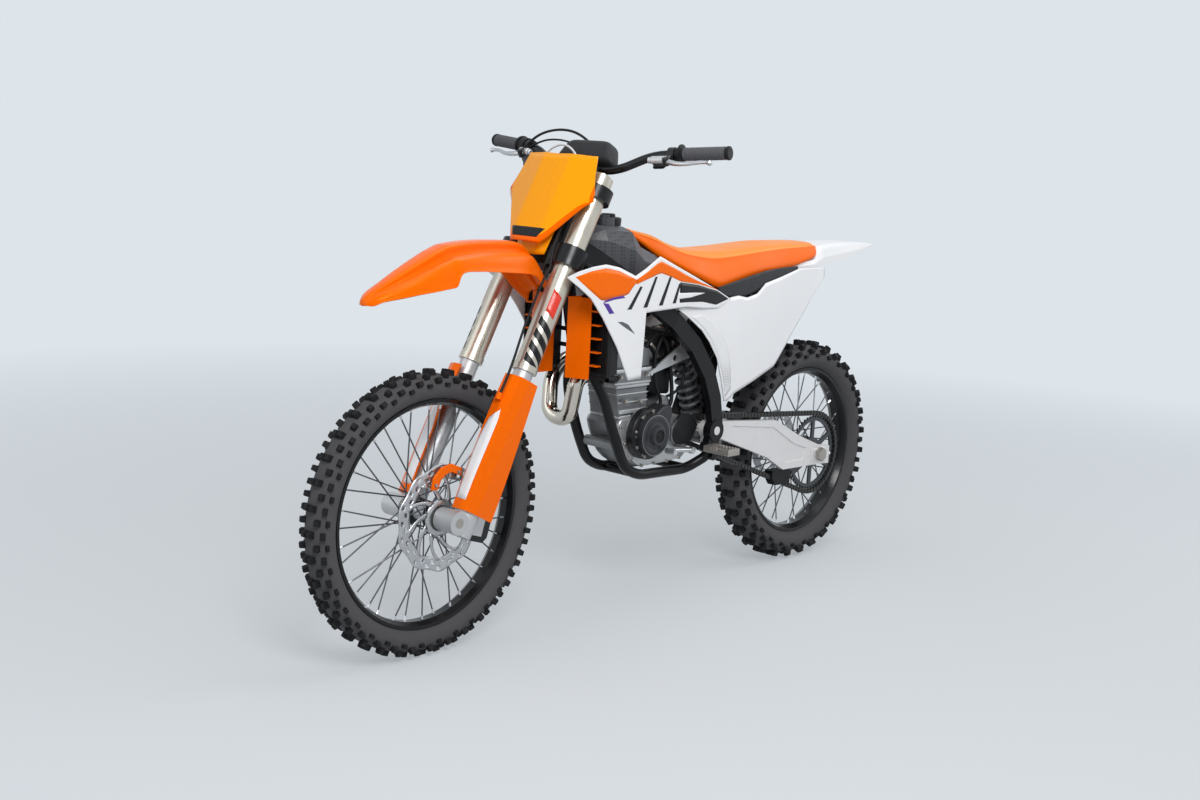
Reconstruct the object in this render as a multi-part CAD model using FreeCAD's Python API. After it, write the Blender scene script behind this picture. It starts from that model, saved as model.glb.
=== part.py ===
import FreeCAD, Part
import math
import os

# Motocross bike. Lengths in millimetres, angles in degrees.
# Working frame: X forward from the rear axle, Y to the rider's left, Z up from the ground.
# The exported frame is the same, moved so that its origin is the rider's place on the seat.

# Layout: wheels, swingarm pivot, steering head
rearTyreRadius = 338.0
frontTyreRadius = 348.0
pivotAhead = 545.0
pivotUp = 132.0
headAhead = 530.0
headUp = 551.0
rakeAngle = 27.5
clampOffset = 22.0
axleLead = 38.0
legLeft = 95.0
riderAhead = -40.0
seatHeight = 959.0

# Fits
runClear = 0.05
faceGap = 0.3
overrun = 5.0
teethGap = 1.0

# Front wheel
frontTyreWide = 74.0
frontTyreSide = 300.0
frontLugTall = 13.0
frontLugRows = 44
frontRimFlange = 278.0
frontRimInner = 262.0
frontRimWide = 48.0
rimWall = 4.0
frontAxleRadius = 12.0
frontHubRadius = 24.0
frontFlangeRadius = 34.0
frontFlangeLeft = 34.0
frontHubEnd = 40.0
flangeThick = 5.0
frontSpokesPerSide = 18
spokeRadius = 1.8
spokeHoleStep = 2.6
spokeSweepAngle = 52.0
frontDiscRadius = 130.0
frontDiscInner = 96.0
discThick = 3.0
discLeft = 56.0
carrierBore = 20.0
carrierRadius = 40.0
discArm = 14.0
discArms = 6
discWaves = 10
discWaveDeep = 4.0
discHole = 4.5

# Lugs on both tyres, as shares of the skin facet that carries each: length, width, and how far to the side
crownAngle = 28.0
shoulderAngle = 62.0
centreLugShares = [(0.5, 0.42, 0.0)]
middleLugShares = [(0.46, 0.3, -0.3), (0.46, 0.3, 0.3)]
shoulderLugShares = [(0.5, 0.8, 0.0)]
lugTopShare = 0.84
shoulderLugShare = 0.88

# Rear wheel
rearTyreWide = 98.0
rearTyreSide = 282.0
rearLugTall = 17.0
rearLugRows = 36
rearRimFlange = 254.0
rearRimInner = 236.0
rearRimWide = 62.0
rearAxleRadius = 12.5
rearHubRadius = 30.0
rearFlangeRadius = 46.0
rearFlangeLeft = 42.0
rearSpokesPerSide = 16
rearDiscRadius = 110.0
rearDiscInner = 80.0
rearCarrierRadius = 46.0

# Chain drive
chainPitch = 15.875
rearTeeth = 48
frontTeeth = 13
chainLeft = 70.0
sprocketThick = 6.0
sprocketRim = 16.0
toothDeep = 6.5
chainWide = 16.0
chainTall = 14.0
chainWaistShare = 0.66
countershaftAhead = 78.0
countershaftUp = 6.0

# Steering head and fork
headTubeRadius = 33.0
headTubeAbove = 72.0
headTubeBelow = 62.0
stemRadius = 15.0
upperClampThick = 34.0
lowerClampThick = 50.0
clampWrap = 12.0
forkOuterRadius = 29.0
forkInnerRadius = 24.0
forkOuterBelow = 390.0
forkOuterAbove = 136.0
forkSlide = 60.0
sealLong = 16.0
sealProud = 2.0
capProud = 5.0
lugRadius = 31.0
lugAbove = 70.0
lugBelow = 24.0
axleHang = 28.0
spacerRadius = 18.0

# Fork guards
guardTop = 378.0
guardFoot = 34.0
guardDeep = 52.0
guardWall = 4.0
guardBulge = 9.0
guardShares = [(0.0, 0.5, 1.0, 0.2), (0.3, 0.5, 0.92, 0.8), (0.7, 0.5, 0.7, 1.0), (1.0, 0.5, 0.5, 0.5)]

# Main frame, as shares of the reach from the pivot to the steering head
frameTube = 14.0
downTube = 19.0
cradleLeft = 68.0
cradleDrop = 110.0
sparThick = 22.0
sparTall = 46.0
sparLeft = 112.0
sparFaceShare = 0.6
pivotRadius = 12.0
pivotBoss = 30.0
bossProud = 3.0
shockMountAhead = 55.0
shockMountUp = 275.0
sparShares = [
    (0.02, 1.0, -0.09), (-0.01, 1.0, 0.03), (0.02, 1.0, 0.163), (0.085, 1.0, 0.3), (0.208, 1.0, 0.445),
    (0.377, 1.0, 0.572), (0.594, 0.86, 0.708), (0.858, 0.5, 0.868), (0.955, 0.28, 0.925),
]
cradleShares = [
    (0.85, 0.1, 2.1), (0.779, 0.92, 1.29), (0.679, 1.0, 0.09), (0.591, 1.0, -0.71), (0.481, 1.0, -0.945),
    (0.104, 1.0, -1.0), (0.012, 1.45, -0.68), (0.012, 1.58, -0.42),
]
upperCrossShare = 0.29
lowerCrossShares = (0.46, 0.12)

# Subframe
railRadius = 11.0
stayRadius = 9.0
railShares = [(0.22, 1.5, 0.64), (0.1, 1.25, 0.74), (-0.25, 1.0, 0.93), (-0.85, 0.9, 0.93)]
stayShares = [(0.06, 1.5, 0.3), (-0.05, 0.86, 0.41), (-0.5, 0.86, 0.925)]
subframeLong = 500.0
subframeLeft = 60.0
subframeUp = 450.0
tabRadius = 22.0

# Swingarm
armLeft = 80.0
armThick = 18.0
armTall = 92.0
armTail = 57.0
bridgeHalfTall = 22.0
bridgeAhead = 145.0
bridgeBehind = 30.0
bridgeWall = 9.0
armPocket = 3.0
blockTall = 34.0
blockAhead = 42.0
pivotNut = 1.0
axleNut = 14.0
linkDrop = 50.0
linkBehind = 80.0

# Engine
caseLeft = 56.0
caseRight = 56.0
caseLong = 290.0
caseTall = 136.0
caseBehind = 45.0
caseDrop = 84.0
crankAhead = 239.0
crankUp = 9.0
magnetoRadius = 66.0
magnetoThick = 54.0
magnetoBoss = 22.0
clutchAhead = 135.0
clutchDrop = 15.0
clutchRadius = 72.0
clutchThick = 56.0
cylinderHalf = 50.0
headHalf = 57.0
cylinderTall = 92.0
cylinderLong = 130.0
cylinderAhead = 215.0
headTall = 100.0
caseStep = 6.0
coverBolt = 4.0
coverBolts = 6
grooveDeep = 3.0
starterAhead = 150.0
starterRadius = 26.0
coverPlate = 86.0
coverWall = 4.0
chainClear = 3.0
cylinderRibs = 4
ribProud = 2.5
ribThick = 3.0
throttleRadius = 26.0
throttleLong = 62.0
portRadius = 23.0
portLong = 16.0

# Shock absorber
shockRadius = 18.0
springRadius = 35.0
springWall = 7.0
shockEye = 14.0
shockEyeHalf = 17.0
lugPlate = 8.0
springStartShare = 0.28
springEndShare = 0.78
boltRadius = 6.0
boltProud = 2.0
springWire = 5.5
coilTurns = 7
coilSides = 12

# Head stays, as shares of the reach from the pivot to the steering head
stayThick = 6.0
stayHole = 9.0
stayCornerShares = [(0.462, 0.294), (0.179, 0.445), (0.083, 0.374)]

# Airbox: ahead, up
airboxHalf = 38.0
airboxBehind = -330.0
airboxLong = 270.0
airboxLugShares = [0.12, 0.28]
airboxTall = 170.0
airboxDrop = 14.0
airboxShares = [(0.0, 0.8), (0.12, 0.5), (0.34, 0.22), (0.62, 0.05), (1.0, 0.0), (1.0, 1.0), (0.0, 1.0)]

# Tank and cap: place (under the seat from -1 to 0, ahead of it from 0 to 1), half width, high
tankFront = 465.0
tankUnderSeat = 140.0
tankHalf = 94.0
tankHigh = 142.0
tankCrown = 7.0
tankBelowSeat = 3.0
tankClear = 0.3
seatClear = 1.5
tankShares = [(-1.0, 0.62, 0.3), (-0.43, 0.92, 0.6), (0.05, 0.98, 0.7), (0.27, 1.0, 0.98), (0.74, 0.72, 1.0),
              (1.0, 0.36, 0.86)]
capRadius = 34.0
capTall = 17.0
capShare = 0.45

# Seat: ahead, top half width, bottom half width, low, high
seatLong = 780.0
seatHalf = 100.0
seatLow = 423.0
seatTall = 80.0
seatCrown = 5.0
seatBehind = -485.0
seatShares = [
    (0.0, 0.6, 0.72, 0.52, 0.99), (0.23, 0.72, 0.9, 0.28, 1.0), (0.46, 0.78, 1.0, 0.1, 0.86),
    (0.66, 0.74, 1.0, 0.0, 0.81), (0.77, 0.66, 0.88, 0.16, 0.92), (0.9, 0.5, 0.64, 0.78, 1.34),
    (1.0, 0.34, 0.42, 1.3, 1.5),
]

# Shrouds and side panels
panelWall = 4.0
shroudLean = 0.052
shroudLong = 650.0
shroudTall = 313.0
shroudBehind = 3.0
shroudUp = 175.0
shroudNose = 7.0
shroudFoot = 14.0
stationShares = (0, 0.12, 0.28, 0.44, 0.6, 0.74, 0.87, 1)
heightShares = (0, 0.3, 0.6, 0.82, 1)
shroudShares = [
    (1.0, 0.87, 1), (0.93, 0.925, 0), (0.857, 0.96, 1), (0.749, 0.907, 0), (0.609, 0.869, 1), (0.54, 0.925, 0),
    (0.472, 1.0, 1), (0.25, 0.84, 0), (0.0, 0.636, 1), (0.1, 0.575, 1), (0.3, 0.592, 0), (0.43, 0.6, 1),
    (0.462, 0.44, 0), (0.505, 0.22, 0), (0.574, 0.0, 1), (0.646, 0.02, 1), (0.72, 0.2, 0), (0.805, 0.438, 0),
    (0.9, 0.66, 0),
]
panelLong = 670.0
panelTall = 360.0
panelBehind = -474.0
panelUp = 81.0
panelBulge = 5.0
panelInShares = [(0.0, 0.7), (0.1, 0.78), (0.21, 0.86), (0.31, 0.92), (0.49, 0.99), (0.634, 1.0), (1.0, 1.0)]
panelShares = [
    (0.0, 0.955, 1), (0.0, 0.985, 1), (0.1, 0.998, 0), (0.21, 0.995, 1), (0.31, 0.93, 0), (0.49, 0.8, 0),
    (0.634, 0.703, 1), (1.0, 0.72, 1), (0.9, 0.64, 0), (0.83, 0.53, 0), (0.782, 0.41, 0), (0.73, 0.19, 0),
    (0.69, 0.03, 1), (0.66, 0.0, 1), (0.634, 0.018, 1), (0.49, 0.136, 0), (0.31, 0.28, 0), (0.21, 0.41, 0),
    (0.1, 0.66, 0),
]
rightPanelFloorShare = 0.68
standoffRadius = 8.0

# Rear fender: ahead, half width, skirt, top
fenderWall = 4.0
tailLong = 530.0
tailHalf = 75.0
tailUp = 505.0
tailDeep = 100.0
tailBehind = -855.0
tailSmoothRows = 4
tailArchShares = [(1.0, 0.0), (0.99, 0.4), (0.93, 0.82), (0.7, 0.97), (0.3, 0.995), (0.0, 1.0)]
tailShares = [
    (0.0, 0.45, -0.13, -0.08), (0.17, 0.8, -0.28, -0.02), (0.4, 0.94, -0.5, 0.0), (0.62, 1.0, -0.66, -0.06),
    (0.7, 1.0, -0.72, -0.43), (1.0, 1.0, -0.8, -0.6),
]

# Radiators and their guards
radiatorAhead = 455.0
radiatorThick = 30.0
radiatorLeft = 50.0
radiatorWide = 100.0
radiatorLow = 195.0
radiatorTall = 215.0
guardLow = 180.0
guardTall = 205.0
guardReach = 50.0
guardSplit = 54.0
louvreCount = 5
finCount = 12
finDeep = 4.0
guardSheet = 4.0

# Exhaust
headerRadius = 21.0
silencerRadius = 45.0
silencerLong = 420.0
silencerStart = -205.0
silencerLeft = 113.0
silencerUp = 245.0
silencerRise = 70.0
bandWide = 20.0
bandProud = 2.0

# Foot controls
pegAhead = 30.0
pegDrop = 52.0
pegLong = 86.0
pegWide = 50.0
pegTall = 18.0
pegRoot = 12.0
pegTeeth = 6
pegRail = 7.0
leverRadius = 6.0
gearAhead = 95.0
gearLeft = 118.0
gearDrop = 45.0
gearLong = 115.0
gearRise = 13.0
gearTip = 32.0
pedalLong = 190.0
pedalRise = 12.0
pedalPad = 26.0

# Bar, controls and plate
barRadius = 11.0
barHalf = 403.0
barAlong = 168.0
barPostHalf = 17.0
barPostLeft = 48.0
gripLong = 128.0
gripRadius = 16.0
gripFlange = 5.0
leverGap = 22.0
leverLong = 132.0
barRise = 42.0
barSweep = 12.0
padHalf = 85.0
padTall = 44.0
padDeep = 60.0
padTopShare = 0.78
plateOut = 80.0
plateWall = 4.0
plateHalf = 104.0
plateTall = 240.0
plateDrop = 73.0
platePostIn = 5.5
platePostSink = 0.85
platePostShare = 0.86
plateShares = [
    (-0.98, 0.64, 0.76, 0.14), (-0.7, 0.3, 1.0, 0.03), (-0.5, 0.0, 1.0, 0.0),
    (0.5, 0.0, 1.0, 0.0), (0.7, 0.3, 1.0, 0.03), (0.98, 0.64, 0.76, 0.14),
]

# Front fender: out from the front axle, up from it, half width, skirt
mudLong = 560.0
mudTall = 175.0
mudHalf = 74.0
mudSkirt = 45.0
mudBack = 367.0
mudUp = 470.0
mudPost = 28.0
mudArchShares = [(1.0, 0.0), (0.97, 0.34), (0.84, 0.7), (0.55, 0.9), (0.25, 0.96), (0.0, 1.0)]
mudShares = [
    (1.0, 0.19, 0.28, 0.3), (0.95, 0.38, 0.56, 0.55), (0.83, 0.74, 0.82, 0.95), (0.62, 0.97, 0.96, 1.2),
    (0.4, 1.0, 0.96, 1.3), (0.2, 0.92, 0.86, 1.35), (0.08, 0.66, 0.76, 1.3), (0.0, 0.36, 0.7, 1.0),
]

# Brake calipers, chain guide and hose
caliperReach = 122.0
caliperAngle = 197.0
caliperLong = 76.0
caliperDeep = 56.0
caliperWide = 36.0
caliperSlot = 8.0
caliperEar = 8.0
caliperPlate = 5.0
rearCaliperReach = 104.0
rearCaliperAngle = 22.0
guideLong = 90.0
guideTall = 38.0
guideAhead = 166.0
guideWall = 5.0
guideClear = 1.0
hoseRadius = 3.2
hoseTopShare = 0.333
hoseFootShare = 0.93
hoseRunShares = (0, 0.25, 0.5, 0.75, 1)


def vec(x, y, z):
    return FreeCAD.Vector(x, y, z)


# Anchor points, worked out from the layout sizes
rake = math.radians(rakeAngle)
steerUp = vec(-math.sin(rake), 0, math.cos(rake))
steerOut = vec(math.cos(rake), 0, math.sin(rake))
across = vec(0, 1, 0)
rearAxle = vec(0, 0, rearTyreRadius)
pivot = rearAxle + vec(pivotAhead, 0, pivotUp)
head = pivot + vec(headAhead, 0, headUp)
axleOut = clampOffset + axleLead
forkReach = (head.z + axleOut * steerOut.z - frontTyreRadius) / steerUp.z
frontAxle = head - steerUp * forkReach + steerOut * axleOut
rider = vec(pivot.x + riderAhead, 0, seatHeight)
countershaft = pivot + vec(countershaftAhead, 0, countershaftUp)
rearPitchRadius = chainPitch / (2 * math.sin(math.pi / rearTeeth))
frontPitchRadius = chainPitch / (2 * math.sin(math.pi / frontTeeth))


def onFrame(ahead, left, up):
    """A point carried by the frame, measured from the swingarm pivot."""
    return pivot + vec(ahead, left, up)


def onFork(along, out, left):
    """A point carried by the steering, measured along its axis and in front of it from the head's middle."""
    return head + steerUp * along + steerOut * out + across * left


def rod(start, end, radius):
    """A round rod between two points."""
    run = end - start
    return Part.makeCylinder(radius, run.Length, start, run)


def pipe(start, end, radius, bore):
    """A round tube between two points."""
    run = end - start
    way = vec(run.x, run.y, run.z).normalize()
    hole = Part.makeCylinder(bore, run.Length + 2 * overrun, start - way * overrun, run)
    return rod(start, end, radius).cut(hole)


def bentPath(points, bendShare=0.45):
    """A wire of straight runs joined by tangent arcs."""
    edges = []
    last = points[0]
    for i in range(1, len(points) - 1):
        before = points[i - 1] - points[i]
        after = points[i + 1] - points[i]
        turn = math.pi - before.getAngle(after)
        cut = bendShare * min(before.Length, after.Length)
        before.normalize()
        after.normalize()
        enter = points[i] + before * cut
        leave = points[i] + after * cut
        radius = cut / math.tan(turn / 2)
        inward = (before + after).normalize()
        middle = points[i] + inward * (radius / math.cos(turn / 2) - radius)
        edges.append(Part.LineSegment(last, enter).toShape())
        edges.append(Part.Arc(enter, middle, leave).toShape())
        last = leave
    edges.append(Part.LineSegment(last, points[-1]).toShape())
    return Part.Wire(edges)


def bentTube(points, radius, bendShare=0.45):
    """A round bar swept along a bent path."""
    path = bentPath(points, bendShare)
    section = Part.Wire([Part.makeCircle(radius, points[0], points[1] - points[0])])
    return path.makePipeShell([section], True, False)


def prism(points, move):
    """A flat outline pushed along a direction."""
    return Part.Face(Part.makePolygon(points + points[:1])).extrude(move)


def slab(outline, left, thick):
    """A plate standing in the X-Z plane, from the given left place."""
    return prism([vec(x, left, z) for x, z in outline], vec(0, thick, 0))


def shaped(shares, ahead, up, long, tall):
    """Points of an outline, as shares of a length and a height, placed from the pivot."""
    return [(pivot.x + ahead + sx * long, pivot.z + up + sz * tall) for sx, sz in shares]


def lofted(sections):
    """A solid through closed outlines of as many points each."""
    wires = [Part.makePolygon(points + points[:1]) for points in sections]
    return Part.makeLoft(wires, True, True)


def outlineOf(points):
    """A closed outline through points."""
    return Part.makePolygon(points + points[:1])


def smoothCurve(points):
    """A smooth curve through points."""
    spline = Part.BSplineCurve()
    spline.interpolate(points)
    return spline.toShape()


def bandWire(outer, inner):
    """A closed outline between two smooth curves of the same direction."""
    return Part.Wire([smoothCurve(outer), Part.makeLine(outer[-1], inner[-1]), smoothCurve(inner[::-1]),
                      Part.makeLine(inner[0], outer[0])])


def creasedBand(outer, inner):
    """A closed outline between two lines of straight runs of the same direction."""
    return outlineOf(outer + inner[::-1])


def smoothLoft(wires):
    """A solid that runs smoothly through closed outlines of as many edges each."""
    return Part.makeLoft(wires, True, False)


def archBand(x, half, edge, top, wall, shares):
    """An open arch across the bike at one place, wall thick, its rise following shares."""
    def line(wide, low, high):
        left = [vec(x, wide * sy, low + (high - low) * sz) for sy, sz in shares]
        return left + [vec(p.x, -p.y, p.z) for p in reversed(left[:-1])]
    return creasedBand(line(half, edge, top), line(half - wall, edge, top - wall))


def curvedSheet(outline, stations, heights, faceAt, wall):
    """A sheet that follows a curved face and is cut to an outline in the X-Z plane."""
    wires = []
    for x in stations:
        inner = [vec(x, faceAt(x, z), z) for z in heights]
        outer = [p + across * wall for p in inner]
        wires.append(bandWire(outer, inner))
    sheet = smoothLoft(wires)
    box = sheet.BoundBox
    cutter = outline.extrude(across * (box.YLength + 2 * overrun))
    cutter.translate(across * (box.YMin - overrun))
    return sheet.common(cutter)


def boltRing(centre, move, radius, count, boltHead, start=0):
    """Short six-sided bosses in a ring about a centre."""
    heads = []
    for i in range(count):
        turn = start + 2 * math.pi * i / count
        spot = centre + vec(radius * math.cos(turn), 0, radius * math.sin(turn))
        heads.append(hexRod(spot, spot + move, boltHead))
    return heads


def wheelTurned(profile, centre):
    """A solid turned about a wheel's axle, from points (left, radius)."""
    points = [vec(centre.x, left, centre.z + radius) for left, radius in profile]
    return Part.Face(Part.makePolygon(points + points[:1])).revolve(centre, across, 360)


def mirrored(shape):
    """The right-hand twin of a left-hand piece."""
    return shape.mirror(vec(0, 0, 0), across)


def pair(shape):
    """A left-hand piece and its right-hand twin."""
    return Part.makeCompound([shape, mirrored(shape)])


def wheelPoint(centre, left, radius, turn):
    """A point on a wheel, at an angle from its top."""
    return centre + vec(radius * math.sin(turn), left, radius * math.cos(turn))


def lugFaces(corners, shares, tall):
    """A flat facet of a tyre's skin with its tapered lugs, as faces; corners run along, out and back."""
    middle = (corners[0] + corners[1] + corners[2] + corners[3]) * (1 / 4)
    along = corners[1] - corners[0]
    side = ((corners[3] - corners[0]) + (corners[2] - corners[1])) * (1 / 2)
    up = along.cross(side).normalize() * tall
    rings = [outlineOf(corners)]
    faces = []
    for longShare, wideShare, leftShare in shares:
        spot = middle + side * leftShare
        steps = [(-1, -1), (1, -1), (1, 1), (-1, 1)]
        low = [spot + along * (a * longShare / 2) + side * (b * wideShare / 2) for a, b in steps]
        top = [spot + up + along * (a * longShare * lugTopShare / 2) + side * (b * wideShare * lugTopShare / 2)
               for a, b in steps]
        rings.append(outlineOf(low))
        faces.append(Part.Face(outlineOf(top)))
        for i in range(4):
            j = (i + 1) % 4
            faces.append(Part.Face(outlineOf([low[i], low[j], top[j], top[i]])))
    faces.append(Part.makeFace(rings, "Part::FaceMakerBullseye"))
    return faces


def tyre(centre, radius, wide, side, lugTall, rows, flange, rimWide):
    """A knobbly tyre: flat skin facets round the wheel, each row of them with its lugs, seated in the rim."""
    half = wide / 2
    step = 2 * math.pi / rows
    seat = rimWide / 2 - rimWall - faceGap
    crown = math.radians(crownAngle)
    shoulder = math.radians(shoulderAngle)
    crownRadius = (radius - lugTall) / math.cos(step / 2)
    tall = (crownRadius - side) / math.cos(crown)
    bead = (flange - rimWall) / math.cos(step / 2)
    right = [(-seat, bead), (-seat, bead + 2 * rimWall), (-half, side), (-half * math.sin(shoulder), side + tall * math.cos(shoulder)),
             (-half * math.sin(crown), crownRadius)]
    profile = right + [(-left, r) for left, r in reversed(right)]
    tread = {3: shoulderLugShares, 5: shoulderLugShares}
    faces = []
    for row in range(rows):
        for i in range(len(profile)):
            j = (i + 1) % len(profile)
            a, b = row * step, (row + 1) * step
            corners = [wheelPoint(centre, *profile[i], a), wheelPoint(centre, *profile[i], b),
                       wheelPoint(centre, *profile[j], b), wheelPoint(centre, *profile[j], a)]
            if i == 4:
                faces += lugFaces(corners, middleLugShares if row % 2 else centreLugShares, lugTall)
            elif i in tread and row % 2 == 0:
                faces += lugFaces(corners, tread[i], lugTall * shoulderLugShare)
            else:
                faces.append(Part.Face(outlineOf(corners)))
    shell = Part.makeShell(faces)
    shell.sewShape()
    solid = Part.makeSolid(Part.Shell(shell.Faces))
    return solid


def rim(centre, flange, inner, wide):
    """A drop-centre rim with a flange on each side."""
    half = wide / 2
    well = inner + rimWall
    shelf = flange - rimWall - faceGap
    profile = [
        (-half, flange), (-half, flange - 2 * rimWall), (-half * 0.45, inner), (half * 0.45, inner),
        (half, flange - 2 * rimWall), (half, flange), (half - rimWall, flange), (half - rimWall, shelf),
        (half * 0.4, well), (-half * 0.4, well), (rimWall - half, shelf), (rimWall - half, flange),
    ]
    return wheelTurned(profile, centre)


def hexRod(start, end, radius):
    """A six-sided rod, for thin wires."""
    run = end - start
    sideways = abs(run.y) > abs(run.x) + abs(run.z)
    side = run.cross(vec(1, 0, 0) if sideways else across).normalize()
    up = run.cross(side).normalize()
    ring = []
    for i in range(6):
        turn = math.pi * i / 3
        ring.append(start + side * (radius * math.cos(turn)) + up * (radius * math.sin(turn)))
    return prism(ring, run)


def spokes(centre, perSide, flangeRadius, flangeLeft, rimInner):
    """Crossed wire spokes from the hub flanges to the rim, cut to the rim's inner face."""
    wires = []
    sweep = math.radians(spokeSweepAngle)
    hold = flangeRadius - spokeRadius * 2
    reach = rimInner + spokeRadius
    bound = Part.makeCylinder(rimInner - faceGap, rimInner, centre - across * (rimInner / 2), across)
    for side in (1, -1):
        phase = math.pi / perSide if side < 0 else 0
        for i in range(perSide):
            lean = 1 if i % 2 else -1
            start = phase + 2 * math.pi * i / perSide
            end = start + lean * sweep
            rootLeft = side * (flangeLeft + lean * (flangeThick / 2 + spokeRadius / 2))
            tipLeft = side * (spokeHoleStep * 2 + lean * spokeHoleStep)
            root = centre + vec(hold * math.sin(start), rootLeft, hold * math.cos(start))
            tip = centre + vec(reach * math.sin(end), tipLeft, reach * math.cos(end))
            wires.append(hexRod(root, tip, spokeRadius).common(bound))
    return wires


def wheelHub(centre, hubRadius, flangeRadius, flangeLeft, endLeft, endRight, bore, wires):
    """A hub with two flanges, and the spokes that they hold."""
    inner = flangeLeft - flangeThick / 2
    outer = flangeLeft + flangeThick / 2
    profile = [
        (-endRight, bore), (-endRight, hubRadius), (-outer, hubRadius), (-outer, flangeRadius),
        (-inner, flangeRadius), (-inner, hubRadius), (inner, hubRadius), (inner, flangeRadius),
        (outer, flangeRadius), (outer, hubRadius), (endLeft, hubRadius), (endLeft, bore),
    ]
    return wheelTurned(profile, centre).fuse(wires)


def ring(centre, left, thick, inner, outer):
    """A flat ring about a wheel's axle."""
    profile = [(left, inner), (left, outer), (left + thick, outer), (left + thick, inner)]
    return wheelTurned(profile, centre)


def spider(centre, left, thick, bore, carrier, inner, armWide, count):
    """A carrier ring with arms that reach out to a disc or a sprocket."""
    arms = []
    for i in range(count):
        foot = centre + vec(-armWide / 2, left, carrier - armWide / 2)
        arm = Part.makeBox(armWide, thick, inner - carrier + armWide, foot)
        arm.rotate(centre, across, 360 * i / count)
        arms.append(arm)
    return ring(centre, left, thick, bore, carrier).fuse(arms)


def waveRing(centre, left, thick, radius, deep, waves):
    """A round plate whose edge runs in waves."""
    points = []
    steps = waves * 4
    for i in range(steps):
        turn = 2 * math.pi * i / steps
        points.append(wheelPoint(centre, left, radius - deep / 2 + deep / 2 * math.cos(waves * turn), turn))
    return prism(points, across * thick)


def brakeDisc(centre, left, radius, inner, carrier):
    """A brake disc with waved edges and drilled holes, and its carrier."""
    band = waveRing(centre, left, discThick, radius, discWaveDeep, discWaves).cut(
        waveRing(centre, left - overrun, discThick + 2 * overrun, inner + discWaveDeep, discWaveDeep, discWaves))
    middle = (radius + inner) / 2
    holes = []
    for i in range(2 * discWaves):
        reach = middle + (discHole if i % 2 else -discHole)
        spot = wheelPoint(centre, left - overrun, reach, math.pi * (i + 1 / 2) / discWaves)
        holes.append(hexRod(spot, spot + across * (discThick + 2 * overrun), discHole))
    return band.cut(holes).fuse(
        spider(centre, left, discThick, carrierBore, carrier, inner + discWaveDeep, discArm, discArms))


def frontWheel():
    """The front tyre, rim, spoked hub and brake disc."""
    save("front_tyre", tyre(frontAxle, frontTyreRadius, frontTyreWide, frontTyreSide, frontLugTall, frontLugRows,
                            frontRimFlange, frontRimWide))
    save("front_rim", rim(frontAxle, frontRimFlange, frontRimInner, frontRimWide))
    wires = spokes(frontAxle, frontSpokesPerSide, frontFlangeRadius, frontFlangeLeft, frontRimInner)
    bore = frontAxleRadius + runClear
    save("front_hub", wheelHub(frontAxle, frontHubRadius, frontFlangeRadius, frontFlangeLeft,
                               discLeft, frontHubEnd, bore, wires))
    save("front_disc", brakeDisc(frontAxle, discLeft, frontDiscRadius, frontDiscInner, carrierRadius))


def toothedPlate(centre, left, thick, tip, teeth):
    """A sprocket's plate, its teeth as trapeziums."""
    points = []
    for i in range(teeth):
        for share, reach in ((-0.34, tip - toothDeep), (-0.14, tip), (0.14, tip), (0.34, tip - toothDeep)):
            points.append(wheelPoint(centre, left, reach, 2 * math.pi * (i + share) / teeth))
    return prism(points, across * thick)


def rearSprocket():
    """The large sprocket on the rear hub."""
    left = chainLeft - sprocketThick / 2
    tip = rearPitchRadius - chainTall / 2 - teethGap
    inner = tip - sprocketRim
    teeth = toothedPlate(rearAxle, left, sprocketThick, tip, rearTeeth).cut(
        rod(rearAxle + across * (left - overrun), rearAxle + across * (left + sprocketThick + overrun), inner))
    return teeth.fuse(spider(rearAxle, left, sprocketThick, carrierBore, rearCarrierRadius, inner, discArm, discArms))


def rearWheel():
    """The rear tyre, rim, spoked hub, brake disc and sprocket."""
    save("rear_tyre", tyre(rearAxle, rearTyreRadius, rearTyreWide, rearTyreSide, rearLugTall, rearLugRows,
                           rearRimFlange, rearRimWide))
    save("rear_rim", rim(rearAxle, rearRimFlange, rearRimInner, rearRimWide))
    wires = spokes(rearAxle, rearSpokesPerSide, rearFlangeRadius, rearFlangeLeft, rearRimInner)
    bore = rearAxleRadius + runClear
    endLeft = chainLeft - sprocketThick / 2
    endRight = chainLeft - discThick / 2
    save("rear_hub", wheelHub(rearAxle, rearHubRadius, rearFlangeRadius, rearFlangeLeft,
                              endLeft, endRight, bore, wires))
    save("rear_disc", brakeDisc(rearAxle, -endRight - discThick, rearDiscRadius, rearDiscInner, rearCarrierRadius))
    save("rear_sprocket", rearSprocket())


def chainBand(radiusRear, radiusFront, left, wide):
    """A belt-shaped solid round both sprockets."""
    run = countershaft - rearAxle
    tilt = math.atan2(run.z, run.x)
    open = math.acos((radiusRear - radiusFront) / run.Length)
    def touch(centre, radius, turn):
        return centre + vec(radius * math.cos(turn), left, radius * math.sin(turn))
    rearTop = touch(rearAxle, radiusRear, tilt + open)
    rearBack = touch(rearAxle, radiusRear, tilt + math.pi)
    rearLow = touch(rearAxle, radiusRear, tilt - open)
    frontTop = touch(countershaft, radiusFront, tilt + open)
    frontNose = touch(countershaft, radiusFront, tilt)
    frontLow = touch(countershaft, radiusFront, tilt - open)
    edges = [
        Part.LineSegment(rearTop, frontTop).toShape(),
        Part.Arc(frontTop, frontNose, frontLow).toShape(),
        Part.LineSegment(frontLow, rearLow).toShape(),
        Part.Arc(rearLow, rearBack, rearTop).toShape(),
    ]
    return Part.Face(Part.Wire(edges)).extrude(vec(0, wide, 0))


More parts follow.
